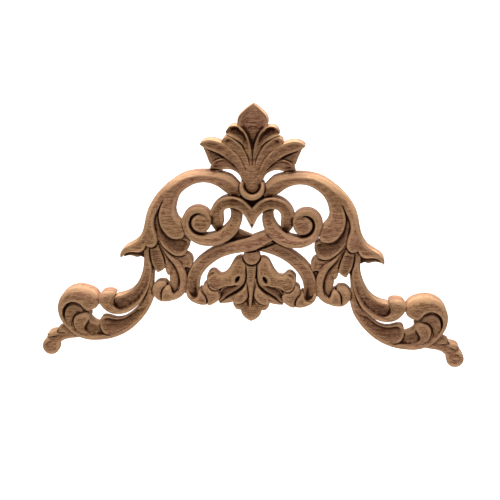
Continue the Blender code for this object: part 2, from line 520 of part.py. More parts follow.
def heart_bow(carving):
    """The heart-shaped bow with its pointed middle."""
    carving.leaf("heart_bow",
                 [(-0.4, 25), (2, 28), (5.6, 31.2), (10, 33.2), (15, 33.8), (20, 32.8), (24.4, 30),
                  (27.8, 26), (29.6, 21.4), (29.8, 16.6), (28.6, 12), (26, 8)],
                 [(-0.4, 10.6), (2, 14.6), (4.6, 19.6), (8.4, 23.6), (12, 25.4), (15.4, 25.6),
                  (18, 24.8), (19.8, 22.6), (20.4, 19.4), (20, 15.8), (20.6, 11.6), (23, 7.6)],
                 height=[11.2, 11.6, 12, 12.4, 12.8, 12.9, 12.5, 11.6, 10.2, 8.6, 7, 5.6],
                 bulge=[0.2, -0.1, -0.4, -0.6, -0.6, -0.6, -0.5, -0.3, 0, 0, 0, 0], section=CREST_NEAR_A,
                 tilt=[0.3, 0.4, 0.6, 0.6, 0.6, 0.5, 0.4, 0.2, 0, 0, 0, 0])
    carving.symmetric_leaf("heart_tip",
                           [(-2.4, 15), (-1.4, 12.6), (-0.3, 10.2)],
                           height=[6, 6, 5.6])


def volute(carving):
    """The scroll that starts under the bow and winds in to its eye."""
    carving.band("volute_ring",
                 [(14.2, 27.6, 6), (11.6, 23.6, 7.2), (11, 19, 8), (12.4, 13.4, 9), (16.4, 8, 9.4),
                  (22, 4, 9), (28.8, 1.8, 8.4), (36, 2.2, 7.8), (42, 5.2, 6.9), (45.8, 10, 6.2),
                  (46.7, 15.4, 5.6), (44.9, 20, 5), (40.9, 22.8, 4.8), (36.2, 23, 4.8),
                  (32.4, 20.8, 4.8), (30.6, 17, 4.2), (30.8, 12.8, 3)],
                 height=[6.8, 7.6, 8.4, 9.4, 10.4, 11, 11.2, 11.2, 11.2, 11.2, 11.2, 11.2, 11.2, 11.1,
                         11, 10.4, 9.4],
                 bulge=[0.6, 0.9, 1.1, 1.3, 1.5, 1.6, 1.6, 1.6, 1.6, 1.5, 1.4, 1.3, 1.2, 1.1, 1, 0.8,
                        0.4], section=CREST_BY_B)
    carving.plate("volute_ground",
                  [(33, 18), (40, 21), (44.4, 18), (44.6, 12), (41, 7.4), (35, 6.2), (33, 9)],
                  6)
    carving.dome("volute_eye", 36.1, 14.2, 7, 10.4, 1.8)


def crossed_straps(carving):
    """The two straps that cross above the flower and end in curls below."""
    strap = [(-14.2, 6.6, 7.6), (-7, 3, 8.8), (0, -0.2, 9.6), (8, -2.2, 9), (16, -4.3, 8.6),
             (24, -7.6, 8.6), (31, -12.2, 9), (37, -18.2, 9.4), (40.6, -25.4, 9.2), (41.9, -32.4, 9),
             (41.8, -37.8, 8), (41.2, -42, 6)]
    carving.band("under_strap",
                 strap,
                 height=[7.2, 7, 6.6, 6.8, 7.6, 8.6, 9.4, 10, 10.2, 10.4, 10.6, 10],
                 bulge=[0.6, 0.6, 0.6, 0.6, 0.7, 0.8, 0.8, 0.4, -0.4, -1.2, -1.8, -1.8], mirrored=False)
    carving.band("over_strap",
                 [(-x, z, w) for x, z, w in strap],
                 height=[8.6, 9.6, 10.6, 10.4, 9.8, 9.4, 9.6, 10, 10.2, 10.4, 10.6, 10],
                 bulge=[0.6, 0.7, 0.8, 0.8, 0.8, 0.8, 0.8, 0.4, -0.4, -1.2, -1.8, -1.8], mirrored=False)
    carving.leaf("strap_curl_lobe",
                 [(46.6, -34.6), (46, -39), (43, -42.9), (38.6, -45), (34.4, -45.9), (31.4, -45.6)],
                 [(44.6, -35), (43.6, -38.2), (41, -40.6), (38.6, -40.2), (37.6, -37), (36.4, -33.6)],
                 height=[10.4, 11, 11.4, 11.6, 11.4, 10.8], bulge=[0.2, 0.3, 0.5, 0.8, 0.9, 0.6])
    carving.leaf("strap_curl_bud",
                 [(38.6, -44.4), (38.6, -41), (38.2, -37.4), (36.4, -33.4)],
                 [(31.2, -45.4), (31.2, -42), (32.6, -38.8), (34.4, -35.6)],
                 height=[10, 11.2, 11.6, 11], bulge=[0.4, 0.9, 0.8, 0.3], caps=(0, 1.2))
    carving.leaf("strap_curl_ball",
                 [(31.2, -46.2), (30.9, -42.8), (32.2, -39.2), (34.2, -36.4), (34.8, -33), (33, -30)],
                 [(27.6, -45.6), (23.4, -42.4), (21.9, -38.4), (23.6, -34.4), (26.8, -31.2),
                  (30.4, -29.2)],
                 height=[10.2, 10.6, 10.8, 10.8, 10.4, 10], bulge=[0.4, 1.6, 2.2, 2.2, 1.6, 0.6],
                 caps=(0, 1.6))
    carving.plate("strap_curl_ground",
                  [(46, -33), (42, -43), (31, -44), (31, -40), (35, -36.4), (38, -36)],
                  6)
    carving.plate("low_join_ground",
                  [(42, -15), (49, -19), (50, -38), (46.4, -38), (43, -28)],
                  4)


def lower_flower(carving):
    """The boss, the spike, the pierced leaves and the three-lobed tip."""
    carving.dome("flower_boss", 0, -10, 6.2, 8.8, 1.5, mirrored=False)
    carving.band("flower_spike",
                 [(0, -12, 8), (0, -17, 8), (0, -24, 7), (0, -31, 5.2), (0, -38, 3.2), (0, -44, 2),
                  (0, -49.6, 0.8)],
                 height=[8.6, 8.6, 8.8, 8.8, 8.6, 8.2, 7.4], bulge=[0.8, 0.9, 1, 1.1, 1, 0.8, 0.3],
                 mirrored=False)
    carving.plate("flower_ground",
                  [(-7, -13), (-7, -28), (-14, -31), (-21, -33), (-20, -42), (-10, -43), (-5, -46),
                   (5, -46), (10, -43), (20, -42), (21, -33), (14, -31), (7, -28), (7, -13)],
                  3.5, mirrored=False)
    carving.leaf("pierced_leaf",
                 [(4.4, -10.4), (9, -9.4), (12.6, -11.2), (15, -15), (17, -18.8), (20, -21.4),
                  (22.8, -20.6), (25.4, -18.2), (28.6, -18.4), (31.3, -21.8)],
                 [(4.2, -22), (4.8, -28), (8.6, -31.4), (12.2, -31.2), (14.8, -31.8), (17.4, -31.8),
                  (20.2, -32.6), (23.4, -34.4), (27.8, -34.2), (31.1, -30)],
                 height=[8.8, 9.2, 9.4, 9.6, 9.8, 10, 10.2, 10.4, 10.4, 10],
                 bulge=[0.8, 1.6, 2, 2, 1.8, 1.4, 1.2, 1.2, 1.2, 0.8], caps=(0, 1.4))
    carving.leaf("pierced_leaf_lip",
                 [(22.9, -21), (23.8, -19.3), (25.8, -18.1), (28.5, -18.5), (30.7, -21), (31.2, -24)],
                 [(24.4, -22.6), (24.9, -21), (26.2, -20.1), (28, -20.5), (29.2, -22), (29.8, -24)],
                 height=[10.4, 11.2, 11.6, 11.6, 11.4, 10.6], bulge=0.3)
    carving.leaf("jaw_leaf",
                 [(4.6, -25), (9, -28), (13, -30.6), (17, -32), (20.6, -33.6), (22.2, -36.6),
                  (23, -40.4), (23.6, -43)],
                 [(4.9, -29.2), (7.6, -32.6), (10.6, -35.2), (13.8, -37.4), (16.8, -39.4),
                  (19.2, -41.2), (21, -42.7), (22.8, -44)],
                 height=[8.4, 8.6, 8.6, 8.4, 8.2, 8.2, 8.2, 8],
                 bulge=[0, -0.8, -1.8, -2.2, -2, -1.4, -0.6, 0], section=CREST_BY_B,
                 tilt=[0, -0.2, -0.3, -0.3, -0.3, -0.2, 0, 0])
    carving.leaf("chin_leaf",
                 [(4.4, -29.8), (6.6, -33), (9.8, -36.1), (13.2, -38.5), (16.2, -40.5), (18.8, -42.3),
                  (20.6, -43.6), (22.8, -44.2)],
                 [(2.6, -32), (4.4, -38), (8, -42), (12, -43.6), (15, -44.6), (17.6, -45),
                  (20.2, -45.1), (22.8, -45)],
                 height=[8.2, 8.2, 8.2, 8, 8, 8, 8, 7.8], bulge=[0.2, 0.4, 0.4, 0.2, 0, 0, 0, 0],
                 tilt=[0, 0.2, 0.4, 0.4, 0.4, 0.3, 0.1, 0])
    carving.leaf("chin_lobe",
                 [(2.4, -26), (2.2, -31), (2, -36), (2.2, -40), (4.6, -43.4), (7.6, -45.2)],
                 [(5, -28), (7.4, -33), (11, -37.4), (12.6, -41), (12.2, -43.8), (10, -45.2)],
                 height=[7.8, 8.4, 8.9, 9.2, 9.3, 9.2], bulge=[0.3, 0.8, 1.2, 1.3, 1, 0.2])
    carving.leaf("trefoil_side",
                 [(3, -38), (2, -43), (3.4, -47.6), (6.4, -50)],
                 [(8, -40), (12.4, -42.6), (13, -46), (10.8, -49.4)],
                 height=[5.6, 6.4, 7, 7], bulge=[0.4, 0.8, 0.9, 0.2])
    carving.symmetric_leaf("trefoil_tip",
                           [(-5, -42), (-6.8, -46), (-7.6, -50), (-6.2, -53.8), (-3.2, -56.8),
                            (-0.5, -58.2)],
                           height=[5.4, 6.2, 6.8, 7, 6.8, 6.4], bulge=[0.6, 1, 1.4, 1.4, 1, 0.3])


def remove_everything():
    """Start from an empty scene."""
    for item in list(bpy.data.objects):
        bpy.data.objects.remove(item, do_unlink=True)


def wood():
    """Mid-brown wood with a thin satin finish."""
    material = bpy.data.materials.new("carved_wood")
    material.use_nodes = True
    shader = material.node_tree.nodes["Principled BSDF"]
    shader.inputs["Base Color"].default_value = WOOD_COLOR
    shader.inputs["Roughness"].default_value = WOOD_ROUGHNESS
    shader.inputs["Metallic"].default_value = 0.0
    return material


def evaluated_mesh(item):
    """The object's mesh with its modifiers applied."""
    bpy.context.view_layer.update()
    return bpy.data.meshes.new_from_object(item.evaluated_get(bpy.context.evaluated_depsgraph_get()))


def back_cutter():
    """A block over everything behind the wall plane."""
    half_width = (TOTAL_WIDTH / 2 + BACK_CUT_MARGIN) * MM
    depth = BACK_CUT_HEIGHT * MM
    mesh = bpy.data.meshes.new("back_cutter")
    shape = bmesh.new()
    bmesh.ops.create_cube(shape, size=1.0)
    bmesh.ops.scale(shape, vec=(2 * half_width, depth, 2 * half_width), verts=shape.verts)
    bmesh.ops.translate(shape, vec=(0.0, depth / 2, 0.0), verts=shape.verts)
    shape.to_mesh(mesh)
    shape.free()
    return bpy.data.objects.new("back_cutter", mesh)


def eye_cutter(side):
    """A deep oval eye, drilled nearly through one of the lower leaves."""
    x, z, half_across, half_along, turn = EYE
    mesh = bpy.data.meshes.new("eye_cutter")
    shape = bmesh.new()
    rings = []
    for level in (EYE_FLOOR, EYE_CUTTER_TOP):
        ring = []
        for k in range(EYE_SIDES):
            angle = 2 * pi * k / EYE_SIDES
            across, along = half_across * cos(angle), half_along * sin(angle)
            place_x = x + across * cos(radians(turn)) + along * sin(radians(turn))
            place_z = z + across * sin(radians(turn)) - along * cos(radians(turn))
            ring.append(shape.verts.new(Vector((side * place_x, -level, place_z)) * (MM * SCALE)))
        rings.append(ring)
        shape.faces.new(ring)
    for k in range(EYE_SIDES):
        following = (k + 1) % EYE_SIDES
        shape.faces.new((rings[0][k], rings[0][following], rings[1][following], rings[1][k]))
    bmesh.ops.recalc_face_normals(shape, faces=shape.faces[:])
    shape.to_mesh(mesh)
    shape.free()
    return bpy.data.objects.new("eye_cutter", mesh)


def join_elements(elements):
    """One board: the elements joined, cut flat behind, drilled, and thinned to the faces it needs."""
    board = bpy.data.objects.new("board", elements[0].data)
    bpy.context.scene.collection.objects.link(board)
    others = bpy.data.collections.new("other_elements")
    bpy.context.scene.collection.children.link(others)
    for element in elements[1:]:
        others.objects.link(element)
    union = board.modifiers.new("union", "BOOLEAN")
    union.operation = "UNION"
    union.operand_type = "COLLECTION"
    union.collection = others
    union.solver = BOARD_SOLVER
    cutters = [back_cutter(), eye_cutter(1), eye_cutter(-1)]
    for cutter in cutters:
        bpy.context.scene.collection.objects.link(cutter)
        cut = board.modifiers.new(cutter.name, "BOOLEAN")
        cut.operation = "DIFFERENCE"
        cut.solver = BOARD_SOLVER
        cut.object = cutter
    thinning = board.modifiers.new("thinning", "DECIMATE")
    thinning.ratio = DETAIL_KEPT
    thinning.use_collapse_triangulate = True
    mesh = evaluated_mesh(board)
    for item in [board] + elements + cutters:
        bpy.data.objects.remove(item, do_unlink=True)
    bpy.data.collections.remove(others)
    return mesh


def flatten_back(mesh):
    """Set the points of the back exactly on the wall plane."""
    for vertex in mesh.vertices:
        if abs(vertex.co.y) < BACK_TOLERANCE * MM:
            vertex.co.y = 0.0


def main():
    remove_everything()
    carving = Carving()
    palmette(carving)
    collar(carving)
    c_scroll(carving)
    long_stems(carving)
    end_leaf(carving)
    heart_bow(carving)
    volute(carving)
    crossed_straps(carving)
    lower_flower(carving)
    mesh = join_elements(carving.elements)
    flatten_back(mesh)
    mesh.name = "applique"
    mesh.materials.clear()
    mesh.materials.append(wood())
    applique = bpy.data.objects.new("applique", mesh)
    bpy.context.scene.collection.objects.link(applique)


if __name__ == "__main__":
    main()
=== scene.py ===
"""Carved flower applique: the finished look of one pierced wooden board, carved in relief.

Every carved element is a shell between two edge lines, drawn in millimetres in the XZ plane. The front
of a shell rises from its edges by a bulge, a hollow, raised rims or flutes. The shells are joined into
one board, fine lines are cut along their own paths, and the whole front gets the marks of the gouge.
"""
import json
from math import cos, pi, radians, sin

import bmesh
import bpy
import numpy as np
from mathutils import Matrix, Vector
from mathutils.bvhtree import BVHTree

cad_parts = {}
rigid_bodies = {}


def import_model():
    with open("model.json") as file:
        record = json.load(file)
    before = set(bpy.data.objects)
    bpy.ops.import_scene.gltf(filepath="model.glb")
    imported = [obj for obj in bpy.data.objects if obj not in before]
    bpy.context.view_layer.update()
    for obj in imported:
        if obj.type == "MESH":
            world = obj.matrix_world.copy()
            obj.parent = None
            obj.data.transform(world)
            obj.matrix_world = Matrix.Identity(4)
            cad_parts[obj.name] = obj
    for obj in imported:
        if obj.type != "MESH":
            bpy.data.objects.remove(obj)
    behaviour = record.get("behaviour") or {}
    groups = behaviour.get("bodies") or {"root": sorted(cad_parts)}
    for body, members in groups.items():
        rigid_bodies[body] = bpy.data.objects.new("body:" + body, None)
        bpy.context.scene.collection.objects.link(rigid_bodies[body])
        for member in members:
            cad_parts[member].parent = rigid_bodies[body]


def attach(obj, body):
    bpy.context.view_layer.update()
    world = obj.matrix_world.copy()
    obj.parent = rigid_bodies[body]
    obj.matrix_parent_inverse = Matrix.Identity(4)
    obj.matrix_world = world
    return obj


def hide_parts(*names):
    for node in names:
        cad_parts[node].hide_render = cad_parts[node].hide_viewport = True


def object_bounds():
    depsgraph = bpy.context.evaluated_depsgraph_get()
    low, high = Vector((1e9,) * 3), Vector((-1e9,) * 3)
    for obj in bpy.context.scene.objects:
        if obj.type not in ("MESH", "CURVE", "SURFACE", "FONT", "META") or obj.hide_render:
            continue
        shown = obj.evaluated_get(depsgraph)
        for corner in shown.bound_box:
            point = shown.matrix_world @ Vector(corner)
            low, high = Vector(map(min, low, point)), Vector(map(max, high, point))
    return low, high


bl_info = {
    "name": "Carved flower applique",
    "version": (1, 0, 0),
    "blender": (4, 5, 0),
    "location": "3D View > Sidebar > Applique",
    "description": "Carves a pierced wooden applique and sets it on a plain stage",
    "category": "Add Mesh",
}

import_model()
CAD_LOW, CAD_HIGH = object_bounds()

# One millimetre in metres, and the width that the carving is drawn at in millimetres
MM = 0.001
DRAWN_WIDTH = 305.4

# The back: how deep the shells reach behind it before it is cut flat, and the block that cuts it
BACK_SINK = 2.0
BACK_CUT_HEIGHT = 10.0
BACK_CUT_MARGIN = 20.0
BACK_TOLERANCE = 0.02

# How finely the shells are divided
STATION_STEP = 1.3
ACROSS = 14
MIN_STATIONS = 6
CAP_STATIONS = 5
BLUNT_END = 0.06
DOME_SIDES = 48
DOME_RINGS = 8
RING_STEPS = 16
RING_TAPER = 0.25

# Every shell is closed, and this solver keeps their union closed as well
BOARD_SOLVER = "MANIFOLD"

# The drilled eyes of the two lower leaves: centre x, centre z, half sizes and turn in degrees
EYE = (9.8, -26.2, 1.5, 2.9, 28.0)
EYE_SIDES = 24
EYE_FLOOR = 2.0
EYE_CUTTER_TOP = 30.0

# The fine stripes of the striped leaf and the ribs of the spike: number, highest place and spacing
STRIPES = 11
STRIPES_TOP = -7.4
STRIPES_GAP = 1.25
RIBS = 9
RIBS_TOP = -16.8
RIBS_GAP = 1.3

# Cross-sections: where the crest or the valley lies from edge A (-1) to edge B (1), and its fullness
ROUND = (0.0, 2.0)
FULL = (0.0, 4.0)
CREST_NEAR_A = (-0.1, 2.2)
CREST_BY_B = (0.2, 1.9)


def flipped(section):
    """A drawn section with its edges changed over."""
    return [(-place, share) for place, share in reversed(section)]


# Drawn sections, as (place across, share of the bulge): a ridge, a hollow or a rim close to one edge
RIDGE_BY_A = [(-1, 0), (-0.75, 0.5), (-0.52, 0.9), (-0.42, 1), (-0.32, 0.96), (0, 0.84), (0.5, 0.5),
              (1, 0)]
RIDGE_BY_B = flipped(RIDGE_BY_A)
HOLLOW_BY_A = [(-1, 0), (-0.9, 0.05), (-0.78, 0.55), (-0.62, 0.92), (-0.43, 1), (0, 0.78), (0.5, 0.34),
               (0.88, 0.03), (1, 0)]
HOLLOW_BY_B = flipped(HOLLOW_BY_A)
HOLLOW_MIDDLE = [(-1, 0), (-0.91, 0.05), (-0.78, 0.5), (-0.6, 0.88), (-0.3, 1), (0.3, 1), (0.6, 0.88),
                 (0.78, 0.5), (0.91, 0.05), (1, 0)]
SOFT_HOLLOW = [(-1, 0), (-0.88, 0.1), (-0.55, 0.62), (-0.15, 0.95), (0.2, 1), (0.55, 0.76), (0.8, 0.3),
               (0.92, 0.04), (1, 0)]
RIM_A = [(-1, 0), (-0.95, 0.8), (-0.85, 1), (-0.74, 0.5), (-0.62, 0), (0, 0), (1, 0)]
RIM_B = flipped(RIM_A)

# A front edge is rounded over this radius, or over this share of half the element's width
ARRIS = 0.7
ARRIS_SHARE = 0.45
LEAST_RADIUS = 1e-6

# Fine lines: distance between their points, fewest points, sides, least half width, how soon they
# narrow at their ends, and the half width for each millimetre of drawn width
LINE_STEP = 0.8
LINE_MIN_STEPS = 8
LINE_SIDES = 8
LINE_LEAST = 0.05
LINE_TAPER = 2.5
LINE_SPREAD = 0.6

# The gouge marks: height in metres, size and seed, and how far a surface has to face the front
MARK_DEPTH = 0.00016
MARKS_PER_METRE = 150.0
MARKS_SEED = 4.0
MARKS_FACING = -0.35

# The map that the recesses are read from: cell size and reach in millimetres, samples per face, where
# its rays start in metres, the radii of narrow and wide recesses, and how their windows are cut off
MAP_STEP = 0.5
MAP_REACH = (160.0, 105.0)
MAP_FILL = 3
RAY_START = 0.05
FINE_RECESS = 1.2
WIDE_RECESS = 4.0
WINDOW_REACH = 2.5
LEAST_SOLID = 0.05

# Walls count less as recesses, by this gain and start on how far they face the front
FACING_GAIN = 1.6
FACING_START = 0.1

# Faces of the sawn back, and edges that aren't smoothed over
BACK_FACING = 0.9
SHARP_ANGLE = radians(38)

# The figure of the wood: noise scales per metre along and across the fibres, and the growth layers
FIBRES_SCALE = (110.0, 1900.0, 1900.0)
PORES_SCALE = (380.0, 3600.0, 3600.0)
PATCHES_SCALE = (17.0, 40.0, 40.0)
LAYERS_SCALE = 110.0
LAYERS_DISTORTION = 3.2
LAYERS_DETAIL = 0.35
LAYERS_TURN = (radians(38), radians(3), radians(2))
PORES_DEPTH = -0.8

# Marks in the wood: where each begins and is full, its strength, and what it multiplies the colour by
FIBRES_MARK = (0.4, 0.62, 0.8, (0.46, 0.33, 0.25))
LAYERS_MARK = (0.15, 0.9, 0.3, (0.5, 0.4, 0.33))
PORES_MARK = (0.0, 1.0, 0.85, (0.25, 0.17, 0.12))
BACK_PORES_MARK = (0.0, 1.0, 0.45, (0.4, 0.3, 0.22))
SAW_MARK = (0.2, 0.9, 0.22, (0.55, 0.45, 0.36))

# Where the pores, the warm patches, the paler back, the painted shade in the recesses and the worn edges
# with their painted highlight begin and are full, and the roughness over the fibres
PORES_RANGE = (0.57, 0.66)
PATCHES_RANGE = (0.36, 0.64)
BACK_RANGE = (0.34, 0.66)
FINE_RANGE = (0.0, 0.45)
WIDE_RANGE = (0.14, 0.86)
EDGE_RANGE = (-0.08, -0.5)
ROUGHNESS_RANGE = (0.3, 0.7, 0.58, 0.74)
BACK_ROUGHNESS = 0.72
WOOD_SPECULAR = 0.1

# Bump strengths and heights in metres, and the saw's marks on the back
FRONT_BUMP = (0.9, 0.00025)
BACK_BUMP = (0.3, 0.0002)
SAW_SCALE = 170.0
SAW_DISTORTION = 1.2
SAW_TURN = radians(78)

# The stage and its lights, in metres and watts
STAGE_FRONT = -1.6
STAGE_FLOOR = -0.42
STAGE_BACK = 1.3
STAGE_BEND = 0.5
STAGE_BEND_STEPS = 12
STAGE_TOP = 1.6
STAGE_HALF_WIDTH = 1.6
STAGE_ROUGHNESS = 0.85
KEY_PLACE = (-0.05, -0.17, 0.95)
KEY_SIZE = 0.5
FRONT_PLACE = (0.25, -1.3, 0.35)
FRONT_SIZE = 1.0
BACKDROP_PLACE = (0.0, 0.5, 1.2)
BACKDROP_TARGET = (0.0, STAGE_BACK, -0.2)
BACKDROP_SIZE = 1.0
BACKDROP_POWER = 38.0
WORLD_STRENGTH = 0.27

# The photograph's view: pitch, yaw and roll in degrees, the camera's place and its lens
VIEW_ANGLES = (15.0, -3.693, 0.5456)
VIEW_PLACE = (-0.001758, -0.8, -0.006879)
VIEW_LENS = 81.22
SENSOR_WIDTH = 36.0


def smooth_curve(knots, values, places):
    """A smooth curve through the values at the knots, and its slope, read at the places."""
    gaps = np.diff(knots)[:, None]
    slopes = np.diff(values, axis=0) / gaps
    tangents = np.zeros_like(values)
    if len(knots) == 2:
        tangents[:] = slopes[0]
    else:
        tangents[1:-1] = (slopes[:-1] * gaps[1:] + slopes[1:] * gaps[:-1]) / (gaps[1:] + gaps[:-1])
        tangents[0] = 1.5 * slopes[0] - 0.5 * tangents[1]
        tangents[-1] = 1.5 * slopes[-1] - 0.5 * tangents[-2]
    index = np.clip(np.searchsorted(knots, places, side="right") - 1, 0, len(knots) - 2)
    gap = gaps[index]
    s = (places - knots[index])[:, None] / gap
    start, end = values[index], values[index + 1]
    first, last = tangents[index] * gap, tangents[index + 1] * gap
    point = ((2 * s**3 - 3 * s**2 + 1) * start + (s**3 - 2 * s**2 + s) * first
             + (3 * s**2 - 2 * s**3) * end + (s**3 - s**2) * last)
    slope = ((6 * s**2 - 6 * s) * (start - end) + (3 * s**2 - 4 * s + 1) * first
             + (3 * s**2 - 2 * s) * last) / gap
    return point, slope


def distances_along(*edges):
    """The distance from the start at each point of an element, as the mean of its edges."""
    steps = [np.diff(edge, axis=0) for edge in edges]
    runs = sum(np.hypot(step[:, 0], step[:, 1]) for step in steps) / len(edges)
    return np.concatenate([[0.0], np.cumsum(runs)])


def spread(value, knots, places):
    """One number, or a list of numbers spaced along the element, read at the places."""
    numbers = np.atleast_1d(np.asarray(value, float))
    if len(numbers) == 1:
        return np.full(len(places), numbers[0])
    own_knots = knots if len(numbers) == len(knots) else np.linspace(knots[0], knots[-1], len(numbers))
    return smooth_curve(own_knots, numbers[:, None], places)[0][:, 0]


def stations_along(length, round_start, round_end):
    """Places along an element, closer together where an end is rounded."""
    quarter = np.linspace(0.0, pi / 2, CAP_STATIONS + 1)
    count = max(MIN_STATIONS, round((length - round_start - round_end) / STATION_STEP))
    places = [np.linspace(round_start, length - round_end, count + 1)]
    if round_start:
        places.append(round_start * (1 - np.cos(quarter)))
    if round_end:
        places.append(length - round_end * (1 - np.cos(quarter)))
    return np.unique(np.round(np.concatenate(places), 6))


def end_rounding(places, length, round_start, round_end):
    """1 along the element, falling as a quarter circle over the rounded ends."""
    share = np.ones(len(places))
    if round_start:
        share = np.minimum(share, np.sqrt(1 - np.clip(1 - places / round_start, 0, 1) ** 2))
    if round_end:
        share = np.minimum(share, np.sqrt(1 - np.clip(1 - (length - places) / round_end, 0, 1) ** 2))
    return share


def section_share(across, section):
    """How much of the bulge is reached at each place across: a crest and a fullness, or a drawn line."""
    if isinstance(section, tuple):
        crest, fullness = section
        away = np.where(across > crest, (across - crest) / (1 - crest), (crest - across) / (1 + crest))
        return 1 - np.abs(away) ** fullness
    drawn = np.array(section, float)
    return smooth_curve(drawn[:, 0], drawn[:, 1:], across)[0][:, 0]


def rolled(distance, radius):
    """How far a rounded arris has dropped at a distance from its edge."""
    inwards = np.clip(1 - distance / np.maximum(radius, LEAST_RADIUS), 0, 1)
    return radius * (1 - np.sqrt(1 - inwards**2))


def front_grid(edge_a, edge_b, knots, places, height, bulge, section, tilt, caps, relief, arris):
    """Front points between two edges, as an array of (x, z, height)."""
    across = np.sin(np.linspace(-pi / 2, pi / 2, ACROSS + 1))
    rounding = end_rounding(places, knots[-1], *caps)
    middle = (edge_a + edge_b) / 2
    narrowing = np.maximum(rounding, BLUNT_END)[:, None]
    edge_a = middle + (edge_a - middle) * narrowing
    edge_b = middle + (edge_b - middle) * narrowing
    weight = ((across + 1) / 2)[None, :, None]
    plan = edge_a[:, None, :] * (1 - weight) + edge_b[:, None, :] * weight
    level = spread(height, knots, places)[:, None]
    for profile, amounts in ((section, bulge), *relief):
        amount = spread(amounts, knots, places) * rounding
        level = level + amount[:, None] * section_share(across, profile)[None, :]
    level = level - spread(tilt, knots, places)[:, None] * across[None, :]
    half_width = np.linalg.norm(edge_b - edge_a, axis=1)[:, None] / 2
    radius = np.minimum(arris, ARRIS_SHARE * half_width)
    level = level - rolled((1 - np.abs(across))[None, :] * half_width, radius)
    for cap, distance in zip(caps, (places, knots[-1] - places)):
        if cap:
            level = level - rolled(distance[:, None], np.full_like(radius, arris))
    return np.concatenate([plan, level[:, :, None]], axis=2)


def close_faces(mesh):
    """Split a solid's faces into triangles that all point outwards."""
    shape = bmesh.new()
    shape.from_mesh(mesh)
    bmesh.ops.triangulate(shape, faces=shape.faces[:])
    bmesh.ops.recalc_face_normals(shape, faces=shape.faces[:])
    shape.to_mesh(mesh)
    shape.free()


def shell_object(name, points, faces, scale):
    """A closed mesh object from (x, z, height) points in millimetres."""
    vertices = [Vector((x, -height, z)) * scale for x, z, height in points]
    mesh = bpy.data.meshes.new(name)
    mesh.from_pydata(vertices, [], faces)
    close_faces(mesh)
    element = bpy.data.objects.new(name, mesh)
    bpy.context.scene.collection.objects.link(element)
    return element


def prism(name, outline, levels, scale):
    """A block over an outline, between two levels."""
    count = len(outline)
    points = [(x, z, level) for level in levels for x, z in outline]
    faces = [tuple(range(count)), tuple(range(2 * count - 1, count - 1, -1))]
    for k in range(count):
        following = (k + 1) % count
        faces.append((k, following, count + following, count + k))
    return shell_object(name, points, faces, scale)


def grid_faces(rows, columns):
    """The faces of a shell: its front grid, the side walls, the end walls and the back."""
    back_a = rows * columns
    back_b = back_a + rows
    faces = []
    for i in range(rows - 1):
        for j in range(columns - 1):
            corner = i * columns + j
            faces.append((corner, corner + 1, corner + columns + 1, corner + columns))
        first, last = i * columns, (i + 1) * columns - 1
        faces.append((first, first + columns, back_a + i + 1, back_a + i))
        faces.append((last, back_b + i, back_b + i + 1, last + columns))
        faces.append((back_a + i, back_a + i + 1, back_b + i + 1, back_b + i))
    faces.append(list(range(columns)) + [back_b, back_a])
    end = [(rows - 1) * columns + j for j in range(columns)]
    faces.append(end + [back_b + rows - 1, back_a + rows - 1])
    return faces


def sides_of(name, mirrored):
    """The sides that an element stands on, each with the element's name there."""
    return ((1, name), (-1, name + "_left")) if mirrored else ((1, name),)


